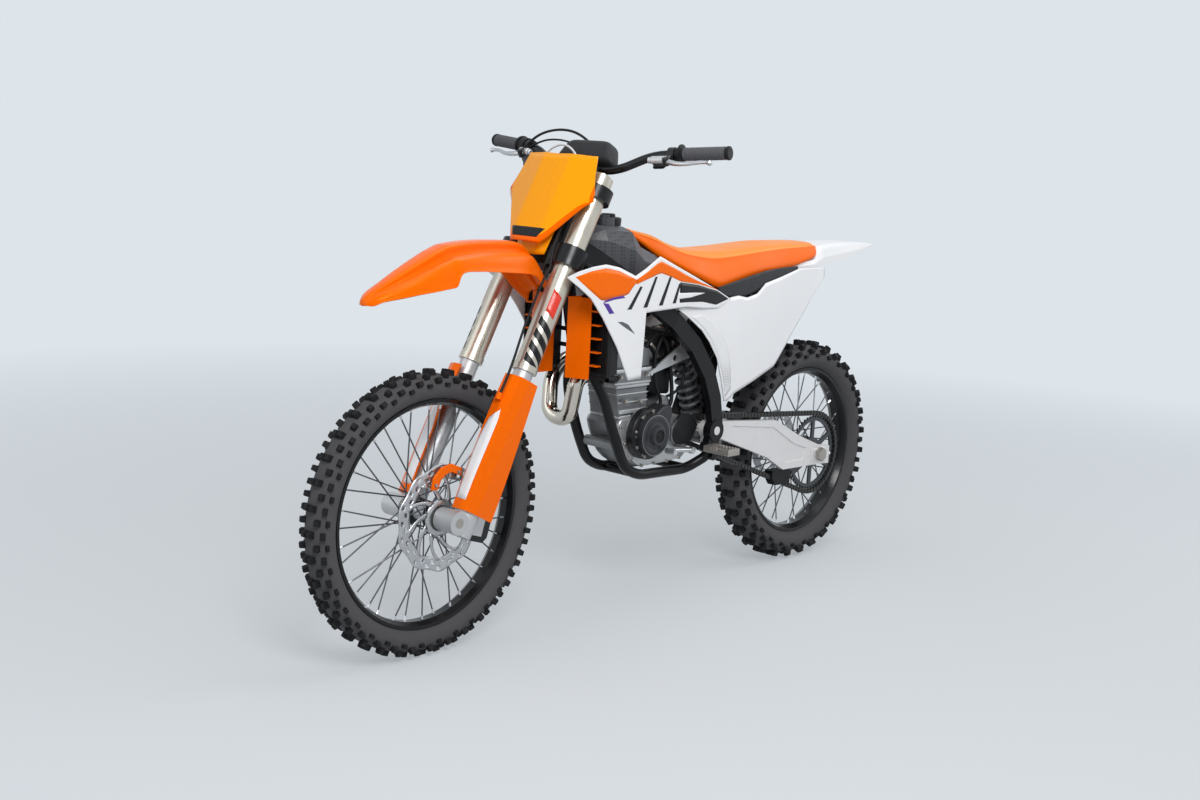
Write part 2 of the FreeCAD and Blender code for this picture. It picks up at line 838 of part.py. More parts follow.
def chainPins(count):
    """The middle of each chain pin and the way out from the loop, as pairs, all round both sprockets."""
    run = countershaft - rearAxle
    tilt = math.atan2(run.z, run.x)
    open = math.acos((rearPitchRadius - frontPitchRadius) / run.Length)
    straight = run.Length * math.sin(open)
    backArc = rearPitchRadius * (2 * math.pi - 2 * open)
    total = 2 * straight + backArc + frontPitchRadius * 2 * open
    pins = []
    for i in range(count):
        s = total * i / count
        if s < backArc:
            turn = tilt + open + s / rearPitchRadius
            pins.append((rearAxle, rearPitchRadius, turn, 0))
        elif s < backArc + straight:
            pins.append((rearAxle, rearPitchRadius, tilt - open, s - backArc))
        elif s < total - straight:
            turn = tilt - open + (s - backArc - straight) / frontPitchRadius
            pins.append((countershaft, frontPitchRadius, turn, 0))
        else:
            pins.append((countershaft, frontPitchRadius, tilt + open, s - total + straight))
    made = []
    for centre, radius, turn, ahead in pins:
        out = vec(math.cos(turn), 0, math.sin(turn))
        way = vec(-math.sin(turn), 0, math.cos(turn))
        made.append((centre + out * radius + way * ahead, out))
    return made


def driveChain():
    """The chain as one closed loop round both sprockets, its outside waisted between the pins."""
    run = countershaft - rearAxle
    links = 2 * round((2 * run.Length + math.pi * (rearPitchRadius + frontPitchRadius)) / chainPitch / 2)
    pins = chainPins(2 * links)
    half = chainTall / 2
    left = across * (chainLeft - chainWide / 2)
    outside = [at + left + out * (half if i % 2 == 0 else half * chainWaistShare) for i, (at, out) in enumerate(pins)]
    inside = []
    for i in range(0, len(pins), 2):
        at, out = pins[i]
        if not (out.isEqual(pins[i - 2][1], 1e-6) and out.isEqual(pins[(i + 2) % len(pins)][1], 1e-6)):
            inside.append(at + left - out * half)
    band = Part.makeFace([outlineOf(outside), outlineOf(inside)], "Part::FaceMakerBullseye")
    return band.extrude(across * chainWide)


def clampPlate(along, thick, reachBack):
    """A fork clamp: two rings round the legs, joined by a web to the stem's boss."""
    low = onFork(along - thick / 2, 0, 0)
    lift = steerUp * thick
    wrap = forkOuterRadius + clampWrap
    legs = [Part.makeCylinder(wrap, thick, low + steerOut * clampOffset + across * side * legLeft, steerUp)
            for side in (1, -1)]
    web = [
        low + steerOut * (clampOffset + wrap * 0.6) + across * (legLeft * 0.9),
        low + steerOut * (clampOffset + wrap * 0.25) + across * (legLeft * 0.3),
        low + steerOut * (clampOffset + wrap * 0.25) - across * (legLeft * 0.3),
        low + steerOut * (clampOffset + wrap * 0.6) - across * (legLeft * 0.9),
        low + steerOut * (clampOffset - wrap * 0.8) - across * (legLeft * 0.9),
        low - steerOut * (reachBack * 0.3) - across * (legLeft * 0.3),
        low - steerOut * (reachBack * 0.3) + across * (legLeft * 0.3),
        low + steerOut * (clampOffset - wrap * 0.8) + across * (legLeft * 0.9),
    ]
    legs.append(Part.makeCylinder(reachBack, thick, low, steerUp))
    plate = prism(web, lift).fuse(legs)
    for side in (1, -1):
        hole = Part.makeCylinder(forkOuterRadius, thick + 2 * overrun,
                                 low - steerUp * overrun + steerOut * clampOffset + across * side * legLeft, steerUp)
        plate = plate.cut(hole)
    return plate


def tripleClamps():
    """Upper and lower fork clamps with the steering stem between them."""
    upperLow = headTubeAbove + faceGap
    lowerTop = -headTubeBelow - faceGap
    back = stemRadius + clampWrap
    upper = clampPlate(upperLow + upperClampThick / 2, upperClampThick, back)
    lower = clampPlate(lowerTop - lowerClampThick / 2, lowerClampThick, back)
    stem = rod(onFork(lowerTop - lowerClampThick, 0, 0), onFork(upperLow + upperClampThick, 0, 0), stemRadius)
    return upper.fuse([lower, stem])


def forkTubes():
    """The two outer fork tubes with a seal at the foot and a cap on top, open for the inner tubes."""
    foot = onFork(-forkOuterBelow, clampOffset, legLeft)
    top = onFork(forkOuterAbove, clampOffset, legLeft)
    seal = rod(foot, foot + steerUp * sealLong, forkOuterRadius + sealProud)
    cap = rod(top, top + steerUp * capProud, forkOuterRadius * 0.75)
    knob = rod(top, top + steerUp * (2 * capProud), forkOuterRadius * 0.3)
    bore = rod(foot - steerUp * overrun, foot + steerUp * (forkSlide + faceGap), forkInnerRadius + runClear)
    return pair(rod(foot, top, forkOuterRadius).fuse([seal, cap, knob]).cut(bore))


def forkSliders():
    """The inner tubes with the axle lugs at their feet."""
    top = onFork(forkSlide - forkOuterBelow, clampOffset, legLeft)
    axleAt = frontAxle + across * legLeft
    lugLine = axleAt - steerOut * axleLead
    tube = rod(lugLine, top, forkInnerRadius)
    lug = rod(lugLine - steerUp * lugBelow, lugLine + steerUp * lugAbove, lugRadius)
    eye = Part.makeCylinder(axleHang, 2 * lugRadius, axleAt - across * lugRadius, across)
    bridge = [
        lugLine + steerUp * (lugAbove * 0.4) - across * lugRadius * 0.8,
        lugLine - steerUp * lugBelow - across * lugRadius * 0.8,
        axleAt - steerUp * axleHang * 0.9 - across * lugRadius * 0.8,
        axleAt + steerUp * axleHang * 0.9 - across * lugRadius * 0.8,
    ]
    foot = tube.fuse([lug, eye, prism(bridge, across * (lugRadius * 1.6))])
    bore = rod(axleAt - across * (lugRadius + overrun), axleAt + across * (lugRadius + overrun), frontAxleRadius)
    middle = discLeft + discThick / 2 + caliperWide / 2 + faceGap
    ear = Part.makeBox(caliperReach, caliperEar, caliperLong * 0.6, frontAxle + vec(0, middle, -caliperLong * 0.3))
    ear.rotate(frontAxle, across, -caliperAngle)
    left = foot.fuse(ear).cut(bore)
    return Part.makeCompound([left, mirrored(foot.cut(bore))])


def frontAxleShaft():
    """The front axle with a collar on each side of the hub."""
    end = legLeft + lugRadius
    shaft = rod(frontAxle - across * (end + faceGap), frontAxle + across * (end + faceGap), frontAxleRadius)
    inside = legLeft - lugRadius
    leftCollar = rod(frontAxle + across * (discLeft + faceGap), frontAxle + across * inside, spacerRadius)
    rightCollar = rod(frontAxle - across * inside, frontAxle - across * (frontHubEnd + faceGap), spacerRadius)
    return shaft.fuse([leftCollar, rightCollar])


def forkGuards():
    """Shields in front of and outside the inner fork tubes, rounded at their front corner."""
    inner = lugRadius + faceGap
    base = frontAxle - steerOut * axleLead + across * legLeft
    wires = []
    for sz, wide, deep, out in guardShares:
        at = base + steerUp * (guardFoot + sz * (guardTop - guardFoot))
        face = inner + out * guardBulge
        def line(wall):
            return [at + steerOut * (face + wall) - across * (inner * wide),
                    at + steerOut * (face + wall * 1.1) + across * (inner * 0.3),
                    at + steerOut * (face * 0.75 + wall) + across * (inner * 0.86 + wall),
                    at + steerOut * (face * 0.1) + across * (inner * 1.02 + wall),
                    at - steerOut * (guardDeep * deep) + across * (inner * 1.02 + wall)]
        wires.append(creasedBand(line(guardWall), line(0)))
    return pair(smoothLoft(wires))


def mainFrame():
    """Head tube, down tube, twin cradle and the flat side spars, joined by cross tubes."""
    spar = []
    count = len(sparShares)
    places = [onFrame(sx * headAhead, sy * sparLeft, sz * headUp) for sx, sy, sz in sparShares]
    for i in range(count):
        way = places[min(i + 1, count - 1)] - places[max(i - 1, 0)]
        lift = vec(-way.z, 0, way.x).normalize() * (sparTall / 2)
        half = across * (sparThick / 2)
        at = places[i]
        spar.append([at + lift - half, at + lift + half, at - lift + half, at - lift - half])
    rail = [onFrame(sx * headAhead, sy * cradleLeft, sz * cradleDrop) for sx, sy, sz in cradleShares]
    bossEnd = across * (sparLeft + sparThick / 2 + bossProud)
    side = lofted(spar).fuse([
        bentTube(rail, frameTube),
        rod(pivot + across * (sparLeft - sparThick / 2), pivot + bossEnd, pivotBoss),
        rod(pegPlace() + across * (sparLeft - sparThick / 2), pegPlace() + bossEnd, pegRoot),
        rod(pedalPlace() + across * (sparLeft - sparThick), pedalPlace() + bossEnd, pegRoot * 0.8),
    ])
    neck = rod(onFork(-headTubeBelow, 0, 0), onFork(headTubeAbove, 0, 0), headTubeRadius)
    foot = onFrame(cradleShares[0][0] * headAhead, 0, cradleShares[0][2] * cradleDrop)
    down = rod(foot, onFork(-headTubeBelow * 0.4, -headTubeRadius * 0.8, 0), downTube)
    crosses = []
    for share in lowerCrossShares:
        at = onFrame(share * headAhead, 0, -cradleDrop * 0.96)
        crosses.append(rod(at - across * cradleLeft, at + across * cradleLeft, frameTube * 0.8))
    high = places[4] + (places[5] - places[4]) * upperCrossShare
    crosses.append(rod(vec(high.x, -high.y, high.z), high, frameTube))
    mount = onFrame(shockMountAhead, 0, shockMountUp)
    ears = []
    for turn in (1, -1):
        left = turn * (shockEyeHalf + faceGap + lugPlate / 2) - lugPlate / 2
        ears.append(slab([(mount.x - shockEye, mount.z - shockEye), (high.x, high.z - frameTube * 0.9),
                          (high.x, high.z + frameTube * 0.9), (mount.x - shockEye, mount.z + shockEye)],
                         left, lugPlate))
    frame = neck.fuse([down, side, mirrored(side)] + crosses + ears)
    stemHole = rod(onFork(-headTubeBelow - overrun, 0, 0), onFork(headTubeAbove + overrun, 0, 0),
                   stemRadius + runClear)
    end = sparLeft + sparThick
    pivotHole = rod(pivot - across * end, pivot + across * end, pivotRadius)
    boltHole = rod(mount - across * (2 * shockEye), mount + across * (2 * shockEye), boltRadius)
    return frame.cut(stemHole).cut(pivotHole).cut(boltHole)


def pegPlace():
    """The middle of a foot peg's root."""
    return onFrame(pegAhead, 0, -pegDrop + pegTall / 2)


def pedalPlace():
    """The brake pedal's pivot, below the foot peg."""
    return onFrame(pegAhead * 0.2, 0, -pegDrop - 1.2 * pegTall)


def downTubeAt(up):
    """The middle of the down tube at a height above the pivot."""
    foot = onFrame(cradleShares[0][0] * headAhead, 0, cradleShares[0][2] * cradleDrop)
    top = onFork(-headTubeBelow * 0.4, -headTubeRadius * 0.8, 0)
    return foot + (top - foot) * ((pivot.z + up - foot.z) / (top.z - foot.z))


def subframe():
    """The rails behind the frame that carry the seat, panels and rear fender."""
    inner = sparLeft - sparThick / 2 - faceGap
    pieces = []
    for shares, radius in ((railShares, railRadius), (stayShares, stayRadius)):
        points = [onFrame(sx * subframeLong, sy * subframeLeft, sz * subframeUp) for sx, sy, sz in shares]
        foot = vec(points[0].x, inner, points[0].z)
        pieces.append(rod(foot - across * (2 * radius), foot, tabRadius * 0.8))
        pieces.append(bentTube([foot - across * (1.3 * radius)] + points[1:], radius))
    for share in (0.62, 0.9):
        at = railPlace(share)
        near = [panelFace(at.x + a * standoffRadius, at.z + b * standoffRadius) for a in (1, -1) for b in (1, -1)]
        reach = min(near) - faceGap
        pieces.append(rod(at, vec(at.x, reach, at.z), standoffRadius))
    for share in (0.1, 0.5):
        at = railPlace(share)
        top = min(seatFloor(at.x - standoffRadius), seatFloor(at.x + standoffRadius)) - faceGap
        pieces.append(rod(at, vec(at.x, at.y, top), standoffRadius))
    side = pieces[0].fuse(pieces[1:])
    back = railPlace(1) + vec(railRadius, 0, 0)
    cross = rod(vec(back.x, -back.y, back.z), back, railRadius)
    return side.fuse([mirrored(side), cross])


def fromTable(table, ahead, up, long, tall, left=0):
    """A closed outline from a table of (length share, height share, corner), curved where no corner is."""
    points = [vec(pivot.x + ahead + sx * long, left, pivot.z + up + sz * tall) for sx, sz, corner in table]
    corners = [i for i, row in enumerate(table) if row[2]]
    edges = []
    for a, b in zip(corners, corners[1:] + [corners[0] + len(table)]):
        run = [points[i % len(table)] for i in range(a, b + 1)]
        edges.append(Part.makeLine(run[0], run[1]) if len(run) == 2 else smoothCurve(run))
    return Part.Face(Part.Wire(edges))


def spread(low, high, shares):
    """Places between two ends, by share."""
    return [low + (high - low) * share for share in shares]


def between(shares, place, column):
    """The value of one column of a table of shares at a place along it."""
    for a, b in zip(shares, shares[1:]):
        if a[0] <= place <= b[0]:
            return a[column] + (b[column] - a[column]) * (place - a[0]) / (b[0] - a[0])
    return shares[0][column] if place < shares[0][0] else shares[-1][column]


def panelFace(x, z=None):
    """How far to the left the side panel's inner face stands, bulging a little at its middle height."""
    share = between(panelInShares, (x - pivot.x - panelBehind) / panelLong, 1)
    flat = share * (sparLeft + sparThick / 2 + faceGap)
    if z is None:
        return flat
    up = (z - pivot.z - panelUp) / panelTall
    return flat + panelBulge * (1 - (2 * up - 1) ** 2)


def seatFloor(x):
    """The height of the seat's underside at a place along the bike."""
    return pivot.z + seatLow + seatTall * between(seatShares, (x - pivot.x - seatBehind) / seatLong, 3)


def fenderRoof(x):
    """The height of the rear fender's top at a place along the bike."""
    return pivot.z + tailUp + tailDeep * between(tailShares, (x - pivot.x - tailBehind) / tailLong, 3)


def railPlace(share):
    """A point on the straight rear run of the left upper rail."""
    ends = [onFrame(sx * subframeLong, sy * subframeLeft, sz * subframeUp) for sx, sy, sz in railShares[2:]]
    return ends[0] + (ends[1] - ends[0]) * share


def shroudFace(x, z):
    """How far to the left the shroud's inner face stands, leaning in at its nose and at its foot."""
    past = max(0, x - pivot.x - radiatorAhead - guardReach - radiatorThick)
    nose = shroudNose * (past / (shroudLong - radiatorAhead - guardReach)) ** 2
    behind = min(1, max(0, (pivot.x + radiatorAhead - 2 * radiatorThick - x) / radiatorWide))
    down = max(0, (pivot.z + shroudUp + shroudTall * 0.6 - z) / (shroudTall * 0.6))
    plain = radiatorLeft + radiatorWide + 2 * faceGap + min(0, x - pivot.x - radiatorAhead + radiatorThick) * shroudLean
    return plain - nose - shroudFoot * behind * down ** 2


def sidePanels():
    """The white panels beside the airbox, leaning in towards the tail; the right one stops above the silencer."""
    outline = fromTable(panelShares, panelBehind, panelUp, panelLong, panelTall)
    stations = spread(pivot.x + panelBehind - overrun, pivot.x + panelBehind + panelLong + overrun, stationShares)
    heights = spread(pivot.z + panelUp - overrun, pivot.z + panelUp + panelTall + overrun, heightShares)
    left = curvedSheet(outline, stations, heights, panelFace, panelWall)
    box = left.BoundBox
    low = pivot.z + panelUp + rightPanelFloorShare * panelTall
    keep = Part.makeBox(box.XLength, box.YLength, box.ZMax - low, vec(box.XMin, box.YMin, low))
    return Part.makeCompound([left, mirrored(left.common(keep))])


def shrouds():
    """The radiator shrouds, curved sheets."""
    outline = fromTable(shroudShares, shroudBehind, shroudUp, shroudLong, shroudTall)
    stations = spread(pivot.x + shroudBehind - overrun, pivot.x + shroudBehind + shroudLong + overrun, stationShares)
    heights = spread(pivot.z + shroudUp - overrun, pivot.z + shroudUp + shroudTall + overrun, heightShares)
    return pair(curvedSheet(outline, stations, heights, shroudFace, panelWall))


def swingarm():
    """Two arms with sunk panels, the bridge between them, the pivot bolt and the shock's lower lugs."""
    front = pivot.x
    top = pivot.z
    outline = [
        (front, top + armTall * 0.26), (front - 0.16 * front, top + armTall * 0.15),
        (front * 0.42, top - armTall * 0.07), (front * 0.2, rearAxle.z + armTall * 0.74),
        (0, rearAxle.z + armTall * 0.3), (-armTail, rearAxle.z + armTall * 0.21),
        (-armTail, rearAxle.z - armTall * 0.38), (front * 0.05, rearAxle.z - armTall * 0.34),
        (front * 0.33, rearAxle.z - armTall * 0.3), (front * 0.48, rearAxle.z + armTall * 0.2),
        (front * 0.9, top - armTall * 0.35), (front, top - armTall * 0.26),
    ]
    sunk = [
        (front * 0.8, top - armTall * 0.02), (front * 0.44, top - armTall * 0.28),
        (front * 0.24, rearAxle.z + armTall * 0.5), (front * 0.12, rearAxle.z + armTall * 0.28),
        (front * 0.14, rearAxle.z - armTall * 0.1), (front * 0.31, rearAxle.z - armTall * 0.08),
        (front * 0.5, rearAxle.z + armTall * 0.5), (front * 0.8, top - armTall * 0.2),
    ]
    outside = armLeft + armThick
    arm = slab(outline, armLeft, armThick).cut(slab(sunk, outside - armPocket, armPocket + overrun))
    block = [(-armTail * 0.62, rearAxle.z - blockTall / 2), (blockAhead, rearAxle.z - blockTall / 2),
             (blockAhead, rearAxle.z + blockTall / 2), (-armTail * 0.62, rearAxle.z + blockTall / 2)]
    nose = rod(pivot + across * armLeft, pivot + across * outside, armTall * 0.27)
    screw = vec(-armTail, outside - armThick / 2, rearAxle.z - armTall * 0.08)
    arm = arm.fuse([nose, slab(block, outside - overrun, overrun + armPocket),
                    rod(screw, screw - vec(boltRadius * 2, 0, 0), boltRadius)])
    arm = arm.cut(rod(rearAxle + across * (armLeft - overrun), rearAxle + across * (outside + 2 * overrun),
                      rearAxleRadius))
    low = pivot.z - bridgeHalfTall
    bridge = slab([(front - bridgeAhead, low), (front - bridgeBehind, low),
                   (front - bridgeBehind, top + bridgeHalfTall * 0.4),
                   (front - bridgeAhead, top + bridgeHalfTall * 0.2)], -armLeft, 2 * armLeft)
    well = springRadius + bridgeWall
    bridge = bridge.cut(Part.makeBox(2 * bridgeAhead, 2 * well, 4 * bridgeHalfTall,
                                     vec(front - bridgeAhead + bridgeWall * 4, -well, low - bridgeHalfTall)))
    lugs = []
    at = pivot - vec(linkBehind, 0, linkDrop)
    for turn in (1, -1):
        left = turn * (shockEyeHalf + faceGap + lugPlate / 2) - lugPlate / 2
        lugs.append(slab([(at.x - shockEye, at.z - shockEye), (at.x + shockEye, at.z - shockEye),
                          (at.x + shockEye, at.z + shockEye), (front - bridgeAhead + bridgeWall * 4, low + overrun),
                          (front - bridgeAhead + bridgeWall, low + overrun)], left, lugPlate))
    end = sparLeft + sparThick / 2 + bossProud + pivotNut
    bolt = rod(pivot - across * end, pivot + across * end, pivotRadius)
    whole = arm.fuse([mirrored(arm), bridge, bolt] + lugs)
    hole = rod(at - across * (2 * shockEye), at + across * (2 * shockEye), boltRadius)
    return whole.cut(hole)


def springCoil(low, high, radius, wire, turns):
    """A coil spring between two points, its wire six-sided, as a run of short straight pieces."""
    run = high - low
    way = vec(run.x, run.y, run.z).normalize()
    ahead = way.cross(across)
    steps = turns * coilSides
    rings = []
    for i in range(steps + 1):
        turn = 2 * math.pi * i / coilSides
        out = across * math.cos(turn) + ahead * math.sin(turn)
        at = low + way * (wire + (run.Length - 2 * wire) * i / steps)
        rings.append(Part.makePolygon([at + out * (radius + wire * a) + way * (wire * b)
                                       for a, b in ((1, 0), (0.5, 0.87), (-0.5, 0.87), (-1, 0), (-0.5, -0.87),
                                                    (0.5, -0.87), (1, 0))]))
    return Part.makeLoft(rings, True, True)


def shock():
    """The shock absorber and its coil spring, with an eye and bolt at each end."""
    top = onFrame(shockMountAhead, 0, shockMountUp)
    low = pivot - vec(linkBehind, 0, linkDrop)
    run = top - low
    a = low + run * springStartShare
    b = low + run * springEndShare
    way = vec(run.x, run.y, run.z).normalize()
    pieces = [
        rod(low, top, shockRadius * 0.6),
        rod(a + run * 0.2, b + run * 0.08, shockRadius),
        rod(a - way * springWall, a, springRadius), rod(b, b + way * springWall, springRadius),
    ]
    for at in (top, low):
        pieces.append(rod(at - across * shockEyeHalf, at + across * shockEyeHalf, shockEye))
        end = across * (shockEyeHalf + faceGap + lugPlate + boltProud)
        pieces.append(rod(at - end, at + end, boltRadius))
    coil = springCoil(a - way * (springWire / 2), b + way * (springWire / 2), springRadius - springWire, springWire,
                      coilTurns)
    return coil.fuse(pieces)


def engineCase():
    """The crankcase with its round covers and their bolts, the front sprocket, its guard and the frame bolt."""
    left = pivot.x + caseBehind
    low = pivot.z - caseDrop
    outline = [
        (left, low + caseTall * 0.29), (left + caseLong * 0.04, low + caseTall * 0.04),
        (left + caseLong * 0.35, low), (left + caseLong * 0.71, low), (left + caseLong * 0.86, low + caseTall * 0.25),
        (left + caseLong * 0.95, low + caseTall * 0.62), (left + caseLong, low + caseTall * 0.9),
        (left + caseLong * 0.97, low + caseTall), (left + caseLong * 0.5, low + caseTall),
        (left + caseLong * 0.17, low + caseTall * 0.95),
        (left, low + caseTall * 0.84),
    ]
    middle = [(x * 0.9 + (left + caseLong / 2) * 0.1, z * 0.9 + (low + caseTall / 2) * 0.1) for x, z in outline]
    case = slab(outline, -caseRight + caseStep, caseLeft + caseRight - 2 * caseStep)
    core = slab(middle, -caseRight, caseLeft + caseRight)
    crank = onFrame(crankAhead, caseLeft, crankUp)
    clutch = onFrame(clutchAhead, -caseRight, -clutchDrop)
    pump = onFrame(clutchAhead + clutchRadius, -caseRight, -clutchDrop - clutchRadius * 0.45)
    starter = onFrame(starterAhead, 0, caseTall - caseDrop + starterRadius * 0.8)
    pieces = [
        core,
        rod(crank - across * (ribProud * 0.8), crank + across * (magnetoThick * 0.6), magnetoRadius),
        rod(crank, crank + across * magnetoThick, magnetoRadius * 0.84),
        rod(crank, crank + across * (magnetoThick + magnetoBoss / 2), magnetoBoss),
        rod(clutch + across * overrun, clutch - across * (clutchThick * 0.7), clutchRadius),
        rod(clutch, clutch - across * clutchThick, clutchRadius * 0.86),
        rod(pump + across * overrun, pump - across * (clutchThick * 0.8), clutchRadius * 0.45),
        rod(starter - across * (caseRight * 0.8), starter + across * (caseLeft * 0.6), starterRadius),
    ]
    pieces += boltRing(crank, across * (magnetoThick * 0.6 + coverBolt), magnetoRadius * 0.92, coverBolts, coverBolt)
    pieces += boltRing(clutch, across * -(clutchThick * 0.7 + coverBolt), clutchRadius * 0.93, coverBolts + 2, coverBolt)
    shaftEnd = vec(countershaft.x, chainLeft + sprocketThick, countershaft.z)
    pieces.append(rod(vec(countershaft.x, caseLeft - overrun, countershaft.z), shaftEnd, boltRadius * 2))
    tip = frontPitchRadius - chainTall / 2 - teethGap
    pieces.append(toothedPlate(countershaft, chainLeft - sprocketThick / 2, sprocketThick, tip, frontTeeth))
    pieces.append(sprocketGuard())
    bolt = onFrame(cradleShares[2][0] * headAhead, 0, cradleShares[2][2] * cradleDrop)
    bolt = bolt - vec(frameTube * 1.9, 0, frameTube * 2)
    reach = across * (cradleLeft - frameTube - faceGap)
    pieces.append(rod(bolt - reach, bolt + reach, frameTube))
    nose = left + caseLong * 0.86
    pieces.append(slab([(nose, bolt.z - frameTube * 0.8), (bolt.x, bolt.z - frameTube * 0.8),
                        (bolt.x, bolt.z + frameTube * 0.8), (nose, bolt.z + frameTube * 1.5)],
                       -caseLeft * 0.5, caseLeft))
    groove = ring(crank, crank.y + magnetoThick - grooveDeep, grooveDeep + overrun, magnetoBoss * 1.3,
                  magnetoRadius * 0.66)
    return case.fuse(pieces).cut(groove)


def sprocketGuard():
    """The cover outside the front sprocket, with the post that holds it."""
    left = chainLeft + chainWide / 2 + chainClear
    ahead = countershaft.x + frontPitchRadius + chainTall
    half = coverPlate / 2
    cover = slab([(countershaft.x - half, countershaft.z + half * 0.2), (countershaft.x - half * 0.3, countershaft.z + half),
                  (ahead - half * 0.4, countershaft.z + half), (ahead + half * 0.5, countershaft.z + half * 0.3),
                  (ahead + half * 0.5, countershaft.z - half * 0.5), (ahead - half * 0.3, countershaft.z - half),
                  (countershaft.x - half * 0.4, countershaft.z - half * 0.8)], left, coverWall)
    post = vec(ahead + boltRadius, caseLeft - overrun, countershaft.z + half * 0.1)
    return cover.fuse(rod(post, vec(post.x, left + coverWall, post.z), boltRadius * 1.3))


def cylinderAndHead():
    """The ribbed cylinder, the head with its cover and ports, and the throttle body behind it."""
    base = pivot.z - caseDrop + caseTall + faceGap
    back = pivot.x + cylinderAhead
    barrel = slab([(back, base), (back + cylinderLong * 0.86, base), (back + cylinderLong, base + cylinderTall),
                   (back + cylinderLong * 0.06, base + cylinderTall)], -cylinderHalf, 2 * cylinderHalf)
    top = base + cylinderTall
    pieces = []
    for i in range(cylinderRibs):
        z = base + cylinderTall * (i + 0.3) / cylinderRibs
        lean = cylinderLong * 0.1 * (z - base) / cylinderTall
        pieces.append(Part.makeBox(cylinderLong * 0.86 + lean, 2 * (cylinderHalf + ribProud), ribThick,
                                   vec(back + lean * 0.5, -cylinderHalf - ribProud, z)))
    pieces.append(slab([(back - cylinderLong * 0.02, top), (back + cylinderLong * 1.08, top),
                        (back + cylinderLong * 1.12, top + headTall * 0.42), (back - cylinderLong * 0.03, top + headTall * 0.42)],
                       -headHalf, 2 * headHalf))
    cover = headHalf * 0.86
    pieces.append(slab([(back - cylinderLong * 0.01, top + headTall * 0.42), (back + cylinderLong * 1.1, top + headTall * 0.42),
                        (back + cylinderLong * 0.98, top + headTall * 0.82), (back + cylinderLong * 0.84, top + headTall * 0.92),
                        (back + cylinderLong * 0.25, top + headTall), (back, top + headTall * 0.84)], -cover, 2 * cover))
    for share in (0.3, 0.6, 0.9):
        spot = vec(back + cylinderLong * share, headHalf - overrun, top + headTall * 0.2)
        for side in (1, -1):
            start = vec(spot.x, side * spot.y, spot.z)
            pieces.append(hexRod(start, start + across * (side * (overrun + coverBolt)), coverBolt * 1.4))
    port = portPlace()
    pieces.append(rod(port - vec(portLong * 2, 0, 0), port, portRadius))
    pieces.append(rod(port - vec(portLong, 0, 0), port - vec(portLong * 0.5, 0, 0), portRadius * 1.3))
    inlet = vec(back, 0, top + headTall * 0.5)
    away = vec(-throttleLong * 0.85, 0, throttleLong * 0.5)
    pieces.append(rod(inlet + vec(overrun, 0, 0), inlet + away, throttleRadius))
    pieces.append(rod(inlet + away * 0.35, inlet + away * 0.6, throttleRadius * 1.25))
    return barrel.fuse(pieces)


def portPlace():
    """The end of the exhaust port at the front of the cylinder head."""
    return vec(pivot.x + cylinderAhead + cylinderLong * 1.1 + portLong, 0,
               pivot.z - caseDrop + caseTall + cylinderTall + headTall * 0.25)


def topSection(x, wide, narrow, bottom, top, crown):
    """Points of an outline across the bike: a flat floor, rounded shoulders and a crowned top."""
    middle = bottom + (top - bottom) * 0.55
    left = [vec(x, wide, bottom), vec(x, wide, middle), vec(x, narrow, bottom + (top - bottom) * 0.94),
            vec(x, narrow * 0.55, top + crown * 0.7), vec(x, 0, top + crown)]
    return left + [vec(p.x, -p.y, p.z) for p in reversed(left[:-1])]


def headStay():
    """The plate on the left that holds the cylinder head to the spar, with its bolt into the spar."""
    left = headHalf + coverBolt + faceGap
    corners = [onFrame(sx * headAhead, 0, sz * headUp) for sx, sz in stayCornerShares]
    plate = slab([(p.x, p.z) for p in corners], left, stayThick)
    window = (corners[0] + corners[1] + corners[2]) * (1 / 3)
    hole = rod(window + across * (left - overrun), window + across * (left + stayThick + overrun), stayHole)
    foot = corners[2] + (window - corners[2]) * 0.3
    grip = corners[0] + (window - corners[0]) * 0.18
    end = sparLeft - sparThick / 2 - faceGap
    bolt = rod(foot + across * left, foot + across * end, boltRadius)
    pin = rod(grip + across * (headHalf + faceGap), grip + across * (left + stayThick + boltProud), boltRadius)
    return plate.cut(hole).fuse([bolt, pin])


def sparTop(x):
    """The height of the spars' upper face at a place ahead of their bend."""
    share = between([(sx, sz) for sx, _, sz in sparShares[3:]], (x - pivot.x) / headAhead, 1)
    return pivot.z + share * headUp + sparTall * sparFaceShare


def tank():
    """The fuel tank on the spars, with its rear under the seat, and its cap."""
    floor = pivot.z + seatLow - tankBelowSeat
    start = pivot.x + seatBehind + seatLong
    ahead = pivot.x + tankFront - start
    sections = []
    for place, sw, high in tankShares:
        x = start + place * (tankUnderSeat if place < 0 else ahead)
        half = sw * tankHalf
        top = seatFloor(x) - seatClear if place < 0 else floor + high * tankHigh
        sections.append(topSection(x, half, half * 0.8, max(floor, sparTop(x) + tankClear), top - tankCrown, tankCrown))
    at = vec(start + capShare * ahead, 0, floor + tankHigh * 0.9)
    lift = vec(0, 0, tankHigh * 0.1 + capTall)
    cap = rod(at, at + lift, capRadius)
    return lofted(sections).fuse([cap, rod(at + lift, at + lift * 1.2, capRadius * 0.5)])


def airbox():
    """The airbox between the subframe rails, with a curved front over the wheel and lugs to the rails."""
    floor = seatFloor(pivot.x + airboxBehind + airboxLong * 0.5) - faceGap - airboxDrop
    outline = [(pivot.x + airboxBehind + sx * airboxLong, floor - airboxTall + sz * airboxTall)
               for sx, sz in airboxShares]
    box = slab(outline, -airboxHalf, 2 * airboxHalf)
    lugs = []
    for share in airboxLugShares:
        at = railPlace(share)
        end = vec(at.x, at.y - railRadius - 2 * faceGap, at.z)
        lug = rod(vec(at.x, airboxHalf - overrun, at.z), end, standoffRadius)
        lugs += [lug, mirrored(lug)]
    return box.fuse(lugs)


